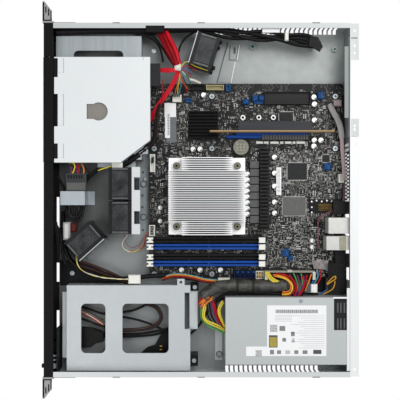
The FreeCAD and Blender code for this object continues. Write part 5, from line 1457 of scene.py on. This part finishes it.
def standCans(bm):
    top = extraCans["top"]
    x0, y0, x1, y1 = extraCans["mark"]
    for x, y in extraCans["spots"]:
        disc(bm, (x, y), extraCans["radius"], boardTop, top, edge=extraCans["edge"])
        block(bm, (x + x0, y + y0, top), (x + x1, y + y1, top + extraCans["lift"]), 1)


solid("extraCans", ["canSilver", "markAndShadeGrey"], standCans)

wallMarks = {"legs": (-0.1765, -0.1516), "hooks": [(-0.1060, -0.0970), (-0.0030, 0.0060), (0.1365, 0.1455)],
             "thick": 0.0005, "legLow": 0.0030, "hookLow": 0.0395, "high": 0.0434}


def markWalls(bm):  # ear legs and hook notches along the outside of the walls
    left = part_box("side_wall_left")[0][0]
    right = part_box("side_wall_right")[1][0]
    high = wallMarks["high"]
    for near, far in ((left - wallMarks["thick"], left), (right, right + wallMarks["thick"])):
        blocks(bm, [(near, wallMarks["legs"][0], far, wallMarks["legs"][1])], wallMarks["legLow"], high)
        blocks(bm, [(near, y0, far, y1) for y0, y1 in wallMarks["hooks"]], wallMarks["hookLow"], high, 1)


solid("wallMarks", ["bezelBlack", "markAndShadeGrey"], markWalls)

headerGlints = {"x": 0.0898, "rows": (0.0470, 0.0535, 0.0602, 0.0668), "header": 0.0925, "half": 0.0014,
              "narrow": 0.6, "lift": 0.0006, "edge": 0.0002}


def glintHeaders(bm):  # painted highlights: small pale blue blocks on the four small data headers stand for glints
    half = headerGlints["half"]
    wide = half * headerGlints["narrow"]
    for y in headerGlints["rows"]:
        top = nearSolid("board_connectors", (headerGlints["header"], y))[1].z
        spot = (headerGlints["x"] - wide, y - half, headerGlints["x"] + wide, y + half)
        blocks(bm, [spot], top, top + headerGlints["lift"], 0, headerGlints["edge"])


solid("headerGlints", ["headerBlue"], glintHeaders)

cableEnd = {"picks": [(310, 36.5), (318, 36.5), (323, 46.5), (320.5, 50.5), (316, 47.5), (309, 46)],
            "low": 23, "high": 33}
bayShade = {"picks": [(141, 353), (148, 347), (155, 345), (158, 339), (163, 331), (172, 324), (172, 353)],
            "low": 1.2, "high": 6, "pads": [(161, 346), (161, 349.5)], "pad": (0.0007, 0.0016),
            "padRise": 0.0002}


def pickedPlate(bm, piece):  # plate whose outline is picked on the photograph, heights in millimetres
    outline = [fromPhoto(*pick, piece["high"]).xy for pick in piece["picks"]]
    plate(bm, outline, piece["low"] / 1000, piece["high"] / 1000)


def shadeBay(bm):  # dark plug under the drive bay, with two bare contacts; its black plate also spreads over painted shade beside the plug
    pickedPlate(bm, bayShade)
    wide, deep = bayShade["pad"]
    for pick in bayShade["pads"]:
        x, y, z = fromPhoto(*pick, bayShade["high"])
        block(bm, (x - wide, y - deep, z), (x + wide, y + deep, z + bayShade["padRise"]), 1)


solid("cableEnd", ["blackPlastic"], lambda bm: pickedPlate(bm, cableEnd))
solid("bayShade", ["blackPlastic", "gold"], shadeBay)

tabGaps = {"middles": [-0.1964, -0.0774], "half": 0.0006, "span": (0.1822, 0.1912), "low": 0.0426,
           "high": 0.0433}


def fillGaps(bm):  # shaded joints between the rear screw tabs
    half, (near, far) = tabGaps["half"], tabGaps["span"]
    blocks(bm, [(x - half, near, x + half, far) for x in tabGaps["middles"]], tabGaps["low"], tabGaps["high"])


solid("tabGaps", ["markAndShadeGrey"], fillGaps)
print("stage: detail placed")

wireRadii = {"redRolls": 0.003, "wallCables": 0.0022, "frontLoops": 0.0017, "flatLeads": 0.0016,
             "bayCables": 0.0015, "driveLeads": 0.0005, "whiteTail": 0.0014, "floorCables": 0.0013,
             "driveTails": 0.0017, "leadSheath": 0.0032, "sataLeads": 0.0008, "fanLeads": 0.00045,
             "supplyWires": 0.00095, "plugWires": 0.0008, "rearPair": 0.0004, "bayLoops": 0.0008,
             "bayThin": 0.0005, "loomShade": 0.0026}
wirePicks = {  # points picked on the photograph: across, down, and height in millimetres
    # painted shade and highlight: the red bundle's rolls are drawn in a darker red and, on the top roll, a
    # brighter red
    "redRolls.redFlat": [
        [(158, 29, 33), (163, 42, 35), (170, 55, 36), (176.2, 65, 36)],
        [(161, 28.4, 35), (166.4, 41, 37.5), (173, 53.6, 38), (177.2, 65, 37)],
    ],
    "redRolls.redBright": [
        [(164.6, 28.2, 33.5), (170.4, 40, 35.5), (177.4, 53, 36.5), (178.8, 64, 36)],
    ],
    "wallCables.wireBlack": [
        [(56, 37, 22), (58, 32.5, 27), (64, 29.8, 31), (80, 29.6, 32), (100, 30, 32), (120, 29.6, 32),
         (138, 29.8, 32), (147, 29, 33)],
        [(57, 38, 20), (60, 34, 24), (68, 32, 28), (84, 32, 29), (104, 32.2, 29), (124, 32, 29),
         (140, 33, 30), (150, 36, 30)],
        [(165, 30, 35), (180, 29.5, 34), (200, 29.6, 34), (214, 30.5, 34), (226, 33, 34), (240, 36.5, 33),
         (255, 38, 33)],
        [(165, 31, 32), (182, 31, 32), (202, 31, 32), (216, 35, 32), (230, 38.5, 31), (246, 38.5, 31),
         (260, 37, 31), (275, 37, 31), (290, 36, 31), (303, 36, 30), (312, 40, 28), (319, 45, 26)],
        [(165, 29, 36), (190, 29, 36), (214, 29.5, 36), (228, 31, 36), (244, 33, 36), (256, 31, 36),
         (270, 31.5, 35), (286, 35.5, 34), (300, 34, 33), (312, 36, 30), (320, 43, 27)],
        [(240, 36, 34), (252, 40, 32), (266, 40.5, 31), (280, 38.5, 31), (293, 38, 31), (306, 38.5, 30),
         (316, 45, 27)],
        [(286, 37.5, 29), (296, 40, 29), (305, 42.5, 28), (314, 45.5, 27)],
    ],
    # painted highlight: loops of black cable drawn in its lighter copy
    "frontLoops.wireGrey": [
        [(69.4, 206, 23), (69.4, 212, 24), (71.4, 216.6, 25), (75.6, 216.6, 25), (78.6, 211, 24),
         (78.6, 206, 23)],
        [(84, 206, 17), (83, 214, 18), (80, 221, 18), (73, 224, 17)],
    ],
    "frontLoops.wireBlack": [
        [(67, 206, 20), (66, 212, 22), (68.5, 219, 24), (76, 220, 24), (81, 214, 22), (82, 206, 20)],
        [(72, 205, 27), (71.5, 210, 28), (74, 215, 29), (77, 214, 29), (77, 208, 27)],
        [(57, 226, 20), (60, 232, 24), (62, 243, 26), (62, 255, 26), (66, 264, 24)],
        [(56, 222, 26), (57.5, 232, 28), (58.5, 246, 28), (58.5, 262, 26)],
        [(60, 228, 16), (64, 240, 20), (66, 252, 22), (72, 264, 22), (84, 272, 20)],
        [(58, 176, 24), (62, 184, 22), (65, 190, 20), (66, 196, 18)],
    ],
    "flatLeads.wireBrown": [
        [(80.7, 261, 17), (95, 266, 17), (112, 273, 18), (124, 279, 19), (134, 282, 19)],
        [(80, 265, 15), (94, 270, 15), (110, 276, 16), (122, 281, 17), (134, 284, 17)],
    ],
    "flatLeads.wireBlack": [
        [(78, 262, 16), (93, 268, 14), (109, 275, 14), (122, 282, 14), (136, 286, 14)],
    ],
    "bayCables.wireBlack": [
        [(80, 306, 9), (90, 309, 10), (100, 313, 10), (110, 315, 9)],
        [(80, 318, 11), (90, 321, 12), (98, 325, 12), (108, 327, 11)],
        [(104, 313, 10), (122, 316.5, 11), (138, 319.5, 11), (154, 325, 11), (166, 331, 12)],
        [(120, 312, 12), (130, 311.5, 12), (142, 307, 12), (150, 302, 12)],
        [(104, 336, 9), (124, 336.5, 10), (144, 336, 10), (164, 333, 10), (176, 326, 9)],
        [(104, 333, 11), (124, 334, 12), (146, 333.5, 12), (166, 329, 12)],
        [(190, 334, 14), (197, 328, 15), (203, 320, 16), (208, 310, 16)],
    ],
    # painted highlight: a loop of black cable drawn in its lighter copy
    "bayCables.wireGrey": [
        [(148, 303, 14), (157, 305, 15), (162, 313, 16), (162, 320, 16), (156, 327, 16), (144, 330, 15),
         (124, 331, 14), (104, 330, 13)],
    ],
    "driveLeads.wireBrown": [
        [(162, 101, 32), (157.4, 119, 31), (157, 130, 30.5), (155, 141, 31), (148.4, 147.6, 31),
         (140.4, 153.6, 31), (132, 160, 30)],
    ],
    "driveLeads.wireBlack": [
        [(181, 70, 34), (186, 74, 32), (190, 80, 28), (191, 88, 20)],
        [(182, 73, 33), (184, 80, 30), (187, 86, 24), (189, 92, 18)],
    ],
    "driveLeads.wireRed": [
        [(162.5, 80, 37), (163.4, 88, 35), (161.5, 101, 32), (156.5, 116, 28), (155.5, 126, 27)],
        [(181, 68, 37), (185, 66, 37), (189, 66, 36), (193, 68.5, 34), (197, 71, 31)],
        [(180, 73, 34), (183, 82, 32), (186, 88, 25), (187, 92, 20)],
        [(181, 69, 35), (186, 71.5, 33), (189.5, 72, 31), (191, 77, 28)],
    ],
    "driveLeads.wireYellow": [
        [(181, 67, 38), (183.6, 62.8, 38), (187.6, 61, 37), (191, 63.8, 36), (196, 66.8, 35),
         (208, 70.5, 32)],
        [(180, 72, 35), (179.6, 80, 32), (177.6, 88, 26), (177.5, 95, 19)],
    ],
    "driveLeads.wireBlue": [
        [(181, 69, 36), (185, 68, 35), (189, 69.5, 34), (192, 73, 32)],
    ],
    "driveLeads.wireCyan": [
        [(181, 72, 35), (184, 77, 33), (187.5, 79.5, 30), (191, 82, 26)],
        [(181, 73, 34), (181.6, 84, 29), (180, 90, 24), (178, 95, 19)],
    ],
    "driveLeads.wireOrange": [
        [(179, 72, 35), (180, 80, 32), (176, 88, 26), (175, 95, 19)],
        [(179.5, 73, 34), (181.5, 81, 31), (185, 85, 27), (188.5, 89.5, 20)],
    ],
    "driveLeads.wireWhite": [
        [(182, 71, 36), (185, 74, 33), (187, 77, 29), (189.6, 79, 26)],
    ],
    "driveLeads.wireGreen": [
        [(181, 72, 34), (185, 75.5, 32), (188.5, 77, 30), (190.5, 84, 24)],
    ],
    "whiteTail.wireWhite": [
        [(189, 79, 26), (193, 79.6, 25), (197, 81.4, 23), (200.4, 83, 20)],
    ],
    "floorCables.wireBlack": [
        [(194, 32, 28), (187, 36, 27), (182, 42, 27), (179, 49, 28), (177.6, 56, 30)],
        [(141, 33, 26), (150, 37, 24), (157, 43, 22), (162, 52, 22), (163, 62, 24)],
        [(147, 31, 28), (156, 38, 26), (163, 49, 25), (170, 60, 28), (175.6, 68, 32)],
    ],
    "driveTails.wireBlack": [
        [(160.5, 103, 30), (157, 119, 29), (156.6, 131, 28.5), (154.6, 141, 28), (148, 148, 28),
         (140, 154, 28), (131, 161, 28)],
        [(159, 105, 30), (155.6, 119, 29), (155, 130.6, 28.5), (153, 140, 28), (146.4, 146.4, 28),
         (138.4, 152.4, 28), (130, 159, 28)],
        [(97, 171, 26), (92, 175, 24), (86, 181, 22), (84, 188, 20)],
        [(98, 169, 27), (92, 172, 26), (87, 177, 24)],
    ],
    "leadSheath.wireBlack": [
        [(140, 154.6, 28), (133, 159, 28), (127, 163, 28), (122, 165.6, 28)],
    ],
    "sataLeads.wireYellow": [
        [(111, 166.5, 30), (104, 168, 29), (98, 170.5, 27)],
        [(69.5, 163, 29), (71, 162, 30), (74.6, 163.5, 31), (75, 168, 31), (72, 175, 30)],
    ],
    "sataLeads.wireRed": [
        [(77.5, 163, 28), (79, 167, 30), (79, 171, 30), (78.4, 175, 30)],
    ],
    "sataLeads.wireOrange": [
        [(81.5, 163.5, 28), (83.6, 167, 30), (84.2, 171, 30), (83, 175, 30)],
    ],
    "sataLeads.wirePurple": [
        [(76, 163.5, 28), (77, 168, 29), (77.4, 172, 30), (77, 175, 30)],
        [(71, 166, 28), (71, 169, 29), (71.5, 172, 30), (71, 175, 30)],
    ],
    "sataLeads.wireBlack": [
        [(73.6, 164, 28), (74, 168, 29), (74, 172, 29), (74, 175, 29)],
        [(85, 167, 27), (89, 172, 27), (92, 177, 26), (96, 172, 24), (100, 168, 22)],
    ],
    "fanLeads.wireYellow": [
        [(76.4, 256, 27), (75.5, 262, 28), (81, 270.4, 29), (95, 276.6, 29), (104, 277, 29), (112, 279, 29),
         (120, 278.4, 29), (128, 279.6, 28)],
        [(140, 249.6, 13), (133, 252, 12.5), (128, 251.5, 12), (124, 249, 13)],
    ],
    "fanLeads.wireWhite": [
        [(77.4, 256, 26), (76, 263, 28), (83, 272, 29), (96, 275.6, 29.5), (104, 278.4, 29.5),
         (112, 277.8, 29.5), (120, 279.8, 29.5), (128, 278.6, 28)],
        [(128, 234.5, 24), (123.4, 240, 20), (121.9, 244.3, 17), (123.3, 249, 14), (130, 252, 12)],
    ],
    "fanLeads.wireRed": [
        [(140, 250.4, 12), (134, 251.4, 12), (130, 251, 12)],
        [(140, 250, 11), (143.6, 247, 8), (145, 242, 7), (145.4, 236, 8), (148, 232, 14)],
    ],
    "fanLeads.wireOrange": [
        [(139, 249, 11), (142.6, 246, 8), (144, 241, 7), (144.6, 235, 8.5), (148, 231, 15)],
    ],
    "supplyWires.wireOrange": [
        [(212, 298, 31), (207, 299, 31), (203.5, 302, 31), (200.6, 307, 30)],
        [(210, 295, 32), (206, 296, 32), (203, 299.5, 32), (201.6, 303, 31)],
        [(209, 297, 33), (205.6, 298.6, 33), (203, 302, 32.5), (201.8, 306, 31.5)],
        [(211, 300, 33), (207.6, 301.6, 33.4), (205.4, 304.6, 33), (204.4, 307.6, 32)],
        [(212.4, 299.6, 31), (208, 301, 32), (205, 304, 32), (203, 308, 31)],
        [(213, 297, 30), (206, 297.4, 30), (202, 300, 30), (199.8, 304, 29)],
    ],
    "supplyWires.wireRed": [
        [(211, 296, 30), (204.6, 297.6, 30), (201, 301, 29.5), (199.4, 305.5, 28)],
        [(209, 294, 31), (203.6, 295.6, 31), (200.2, 299, 30.4), (198.6, 303, 29)],
        [(213.5, 301, 29), (216, 311, 29), (220, 320, 27), (224.4, 327, 24)],
        [(212.6, 302, 28), (214.6, 312, 28), (218.6, 320.6, 26), (224.4, 328.6, 23)],
    ],
    "supplyWires.wireYellow": [
        [(204.6, 304, 32), (202.2, 312, 33), (203.4, 320, 32), (210, 324.4, 29), (217, 326.6, 27),
         (224.4, 331, 25)],
        [(206, 306, 31), (203.8, 313, 32), (205.2, 320, 31), (212, 322.6, 29), (218, 325, 28),
         (224.4, 329.4, 26)],
        [(222.6, 300.6, 31), (218, 307, 32), (218.4, 314, 31), (221.4, 321, 28), (224.6, 327, 26)],
        [(223.8, 302, 31), (219.6, 308, 32), (220, 315, 31), (222.6, 321, 29), (224.6, 325.6, 27)],
    ],
    "supplyWires.wireGreen": [
        [(201.4, 308, 30), (200.6, 315, 30), (203, 322, 28), (211, 327.6, 25), (218, 330, 24),
         (224.4, 333.4, 22)],
        [(202.4, 310, 29), (201.8, 316, 29), (204.6, 323.4, 27), (212, 328.6, 24.5), (224.4, 332, 23)],
    ],
    "supplyWires.wirePurple": [
        [(211.4, 302, 28), (213, 308, 28), (215, 316, 27), (219, 324, 24)],
        [(211, 300, 29), (205, 300, 29.4), (201, 302, 29), (199, 307, 28)],
    ],
    "supplyWires.wireBlack": [
        [(209.6, 303, 27), (210, 311, 27), (212.6, 319, 25), (219, 327, 22)],
        [(207.4, 305, 27), (207, 313, 27), (209.6, 320, 25), (217, 327, 22)],
        [(215, 300, 28), (217, 306, 28), (217, 314, 27), (221, 322, 24)],
    ],
    "plugWires.wireYellow": [
        [(265.4, 271.5, 32), (267.6, 277, 33), (272.4, 281.8, 33), (281, 284.6, 31)],
        [(266.8, 271.5, 32), (269, 276.6, 33.5), (273.8, 281, 33.5), (281.6, 283.6, 31)],
        [(268.4, 271.5, 32), (270.6, 276, 33), (275.2, 280, 33), (282, 282.6, 31)],
        [(277, 276, 33), (287, 278.4, 35), (292.6, 284.6, 35), (292, 291.4, 33.5), (288, 294.8, 32),
         (282, 294.6, 30)],
    ],
    "plugWires.wireOrange": [
        [(273, 274.6, 32), (283, 275.4, 35), (291, 281, 35), (293.6, 288, 34), (290, 294, 32),
         (282, 293, 30)],
        [(274, 276, 32), (284, 277.6, 34), (290, 282.6, 34), (291.2, 288.6, 33), (287.6, 292.4, 32),
         (282.6, 291.4, 30)],
        [(311.4, 274, 32), (309, 281, 33), (307, 286, 31), (305, 291, 28)],
    ],
    "plugWires.wireRed": [
        [(276, 273.4, 32), (286, 274.6, 34), (293.6, 280, 34), (296, 288, 33), (292, 294.8, 31),
         (284, 296.4, 28)],
        [(282, 273.4, 31), (290, 276, 33), (295, 282, 33), (297.4, 289, 31), (294, 295.6, 29)],
        [(301.6, 276, 32), (305, 283, 32.5), (303.4, 290, 30), (299, 296, 28)],
        [(307, 275, 32), (305.4, 283.4, 32), (302.6, 290, 30), (298.6, 294.6, 28)],
        [(320, 269.4, 22), (321.8, 275.6, 24), (318.4, 282, 25), (316, 286, 25)],
    ],
    "plugWires.wirePurple": [
        [(297, 275, 32), (300.2, 282.6, 32.5), (299.2, 289.6, 31), (295, 295.4, 29)],
        [(289.6, 274, 32), (292.4, 280, 32), (294.6, 287, 30), (293, 294, 28)],
        [(303.8, 275.4, 32), (304, 283, 32), (301.2, 290, 30), (297, 296, 28)],
    ],
    "plugWires.wireGreen": [
        [(293.4, 273, 32), (295.6, 278, 32.5), (298, 284, 31), (297.4, 290, 29)],
        [(301, 273.4, 32), (302.6, 279, 32), (301.8, 286, 30), (299, 292, 28)],
    ],
    "plugWires.wireBlack": [
        [(299.4, 275, 31), (302.4, 282.6, 31), (301, 290, 29), (296.4, 297, 27)],
        [(291, 274, 30), (294, 281, 30), (295.6, 289, 28), (293, 297, 26)],
        [(309.6, 275, 30), (308.4, 283, 30), (305, 291, 28), (301, 298, 26)],
        [(305.4, 275.4, 31), (306.4, 283, 31), (304.6, 290, 29), (300, 297, 27)],
    ],
    "plugWires.wireCyan": [
        [(317, 270, 24), (318.8, 276, 26), (315.4, 281.4, 27), (311.6, 287, 27), (312, 292, 25)],
    ],
    "plugWires.wireBlue": [
        [(316, 272, 24), (314.2, 279, 26), (310.6, 285.6, 27), (310.4, 291, 25)],
        [(331, 284, 16), (327.4, 290, 15), (320, 294, 14)],
    ],
    "plugWires.wireGold": [
        [(327, 283.6, 24), (331, 278.4, 25), (335.6, 275.4, 25), (335.8, 279, 25), (331.4, 281.4, 24.5),
         (327, 284.6, 24)],
        [(335, 281, 24.5), (334.4, 288, 24), (328, 292, 23), (323, 294, 20)],
    ],
    "rearPair.wirePink": [
        [(344, 182, 20), (344.6, 196, 20), (340, 206, 19), (330, 211.4, 18), (320.4, 215.4, 17),
         (316.8, 222, 16), (319, 229, 15), (317, 236, 14), (319, 243, 13), (318, 248, 12)],
        [(345, 182, 21), (345.8, 197, 21), (341, 207, 20), (331, 212.4, 19), (321.6, 216.4, 18),
         (318.6, 222, 17), (317, 229, 16), (319, 236, 15), (317, 243, 13), (318.6, 248, 12)],
    ],
    "bayLoops.wireBrown": [
        [(145, 305, 13), (154, 306, 14), (160, 314, 17), (160, 320, 17), (154, 325, 17), (142, 328, 16),
         (124, 329, 15), (104, 328, 14)],
        [(147, 304, 15), (156, 306, 17), (161, 314, 18), (161, 320, 18), (155, 326, 18), (143, 329.6, 17),
         (124, 331, 16), (104, 330.6, 15)],
    ],
    "bayThin.wireOrange": [
        [(80, 311, 12), (87, 313.6, 12), (94, 318, 13), (103, 323.6, 13)],
    ],
    "bayThin.wireRed": [
        [(80, 313, 12), (88, 316, 12), (95, 320, 13), (103, 325, 13)],
    ],
    "bayThin.wireBrown": [
        [(80, 309, 12), (90, 312, 12), (97, 316.6, 13), (104, 320, 13)],
        [(80, 319, 12), (86, 319.4, 12), (93, 322, 13), (100, 324, 13)],
    ],
    "bayThin.wireWhite": [
        [(86, 313.6, 13), (92, 317, 13), (98, 321, 13), (103, 324.6, 13)],
    ],
    "loomShade.wireBlack": [
        [(212, 304, 20), (220, 297.5, 20), (234, 294.6, 20), (252, 294.4, 20), (275, 294.8, 20),
         (300, 295, 18)],
        [(216, 300, 24), (226, 294, 24), (240, 292, 24), (262, 292.5, 24), (290, 294, 22), (318, 295, 18)],
    ],
}
for name, routes in wirePicks.items():
    piece, look = name.split(".")
    cords(name, look, wireRadii[piece], [[fromPhoto(*pick) for pick in route] for route in routes])
print("stage: wires run,", len(wirePicks), "groups")

cordRoutes = {
    "loom": [(0.150, 0.031, 0.026), (0.150, 0.015, 0.026), (0.138, 0.0045, 0.027), (0.120, 0.0045, 0.027),
             (0.108, 0.015, 0.0275), (0.105, 0.034, 0.028), (0.1055, 0.058, 0.028), (0.1065, 0.082, 0.0275),
             (0.1045, 0.106, 0.027), (0.098, 0.124, 0.026)],
    "wall": [(-0.206, -0.1765, 0.031), (-0.2064, -0.158, 0.0314), (-0.2078, -0.126, 0.032),
             (-0.2078, -0.066, 0.032)],
    "thin": [(-0.2098, -0.043, 0.032), (-0.2098, -0.024, 0.032), (-0.2108, 0.006, 0.033),
             (-0.2084, 0.036, 0.0334), (-0.2034, 0.066, 0.034), (-0.1974, 0.096, 0.033),
             (-0.1894, 0.124, 0.028), (-0.1894, 0.143, 0.028)],
    "panel": [(0.014, -0.172, 0.0042), (0.032, -0.1732, 0.0048), (0.056, -0.1715, 0.012),
              (0.078, -0.160, 0.019), (0.093, -0.140, 0.022), (0.098, -0.112, 0.024), (0.097, -0.084, 0.023),
              (0.094, -0.058, 0.019), (0.094, -0.032, 0.017), (0.098, -0.006, 0.018), (0.103, 0.020, 0.020)],
    "leadMain": [(0.042, -0.095, 0.009), (0.053, -0.095, 0.0086), (0.061, -0.086, 0.0086),
                 (0.057, -0.076, 0.010), (0.0475, -0.0715, 0.0126), (0.0405, -0.0646, 0.013)],
}
cordRadii = {"sleeve": 0.0078, "wall": 0.0042, "thin": 0.0026, "panel": 0.0028, "lead": 0.0005}
sleeved = slice(3, 9)  # points of the loom that its sleeve covers
loomCord = cords("loomSleeve", "sleeveBraid", cordRadii["sleeve"], [cordRoutes["loom"][sleeved]])
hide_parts("power_loom")
sleeveBands = {"radius": 0.0080, "routes": [[(0.1051, 0.0440, 0.028), (0.1052, 0.0475, 0.028)],
                                            [(0.1056, 0.0630, 0.0278), (0.1058, 0.0670, 0.0277)]]}
cords("sleeveBands", "bandOlive", sleeveBands["radius"], sleeveBands["routes"])
blackCord = cords("blackCords", "wireBlack", cordRadii["wall"], [cordRoutes["wall"]])
cords("thinCord", "wireBlack", cordRadii["thin"], [cordRoutes["thin"]])
cords("panelCord", "wireBlack", cordRadii["panel"], [cordRoutes["panel"]])
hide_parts("black_cables")
clipBlocks = {"edge": 0.0008, "blocks": [((-0.2138, -0.066, 0.027), (-0.2034, -0.043, 0.042)),
                                         ((-0.2114, -0.066, 0.042), (-0.2034, -0.043, 0.0434))]}


def clipCables(bm):
    for low, high in clipBlocks["blocks"]:
        block(bm, low, high, 0, clipBlocks["edge"])


solid("cableClip", ["blackPlastic"], clipCables)
redBranches = {"radius": 0.0006, "half": 0.0022, "routes": [
    [(-0.1592, -0.0281, 0.037), (-0.1580, -0.0354, 0.038), (-0.1583, -0.0415, 0.037),
     (-0.1587, -0.0483, 0.036)],
    [(-0.1577, -0.0262, 0.035), (-0.1433, -0.0320, 0.033), (-0.1265, -0.0440, 0.030),
     (-0.1085, -0.0570, 0.026), (-0.0979, -0.0610, 0.021)]]}
cords("redBranches", "redBright", redBranches["radius"], redBranches["routes"], flat=redBranches["half"])
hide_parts("data_cables")
thinLead = cords("thinLeads", "wirePink", cordRadii["lead"], [cordRoutes["leadMain"]])
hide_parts("thin_leads")
rearRibbons = {"radius": 0.0005, "runs": {  # half width and route
    "ribbonGrey": (0.0030, [(-0.1200, 0.1615, 0.013), (-0.1089, 0.1665, 0.017), (-0.0999, 0.1712, 0.020),
                            (-0.0880, 0.1750, 0.022), (-0.0770, 0.1757, 0.022)]),
    "ribbonPink": (0.0019, [(-0.0800, 0.1757, 0.0216), (-0.0668, 0.1760, 0.022), (-0.0482, 0.1777, 0.022),
                            (-0.0247, 0.1793, 0.021)]),
}}
for look, (half, route) in rearRibbons["runs"].items():
    cords("rearRibbon." + look, look, rearRibbons["radius"], [route], flat=half)
boardRibbon = {"radius": 0.0005, "step": Vector((-0.95, 0.0, 0.15)),  # step and route in millimetres
               "looks": ["wireBrown", "wireRed", "wireBrown", "wireOrange", "wireGold", "wireCyan"],
               "route": [(101, -47, 15), (98.5, -42, 20), (96, -35, 23), (95.5, -22.5, 24),
                         (98.5, -6, 24), (102.5, 7.5, 24), (103.5, 22.5, 24)]}
for row, look in enumerate(boardRibbon["looks"]):
    spots = [(Vector(point) + row * boardRibbon["step"]) / 1000 for point in boardRibbon["route"]]
    cords("boardRibbon." + look, look, boardRibbon["radius"], [spots])

stageLook = {"floor": (0.93, 0.93, 0.93, 1), "white": (1, 1, 1, 1), "size": 6.0, "drop": -0.0002,
             "world": 0.36}


def splitView(tree, lit, seen, surface):  # the camera sees one shader, and light meets the other
    path = addNode(tree, "LightPath")
    mix = addNode(tree, "MixShader")
    tree.links.new(path.outputs["Is Camera Ray"], mix.inputs["Fac"])
    tree.links.new(lit.outputs[0], mix.inputs[1])
    tree.links.new(seen.outputs[0], mix.inputs[2])
    tree.links.new(mix.outputs[0], surface)


def buildFloor():
    mesh = bpy.data.meshes.new("studioFloor")
    half = stageLook["size"] / 2
    corners = [(-half, -half, 0), (half, -half, 0), (half, half, 0), (-half, half, 0)]
    mesh.from_pydata(corners, [], [(0, 1, 2, 3)])
    floor = bpy.data.objects.new("studioFloor", mesh)
    floor.location.z = stageLook["drop"]
    scene.collection.objects.link(floor)
    material = bpy.data.materials.new("studioFloor")
    material.use_nodes = True
    tree = material.node_tree
    tree.nodes.clear()
    pale = addNode(tree, "BsdfDiffuse")
    setInputs(pale, {"Color": stageLook["floor"]})
    glow = addNode(tree, "Emission")
    setInputs(glow, {"Color": stageLook["white"]})
    splitView(tree, pale, glow, addNode(tree, "OutputMaterial").inputs["Surface"])
    mesh.materials.append(material)
    floor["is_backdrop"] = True


def buildWorld():
    world = bpy.data.worlds.new("studioWorld")
    scene.world = world
    world.use_nodes = True
    tree = world.node_tree
    sky = tree.nodes["Background"]
    setInputs(sky, {"Color": stageLook["white"], "Strength": stageLook["world"]})
    backdrop = addNode(tree, "Background")
    setInputs(backdrop, {"Color": stageLook["white"]})
    splitView(tree, sky, backdrop, tree.nodes["World Output"].inputs["Surface"])


buildFloor()
buildWorld()
lamps = {  # place, aim, size, power
    "topSoft": ((-0.45, 0.55, 1.4), (0, 0.05, 0), 1.0, 15.0),
    "frontSoft": ((0.4, -0.8, 1.4), (0, 0, 0), 0.9, 7.0),
}
for name, (spot, aim, size, power) in lamps.items():
    data = bpy.data.lights.new(name, "AREA")
    data.shape = "SQUARE"
    data.size = size
    data.energy = power
    lamp = bpy.data.objects.new(name, data)
    lamp.location = spot
    lamp.rotation_euler = (Vector(aim) - Vector(spot)).to_track_quat("-Z", "Y").to_euler()
    scene.collection.objects.link(lamp)

cameraLook = {"lens": 71.26, "turn": math.pi / 2}  # the front is at the left of the picture
cameraData = bpy.data.cameras.new("topCamera")
cameraData.lens = cameraLook["lens"]
camera = bpy.data.objects.new("topCamera", cameraData)
camera.location = (0, 0, photoFit["eye"])
camera.rotation_euler = (0, 0, cameraLook["turn"])
scene.collection.objects.link(camera)
scene.camera = camera
scene.view_settings.view_transform = "Standard"
print("stage: lights and camera placed")

low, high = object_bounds()
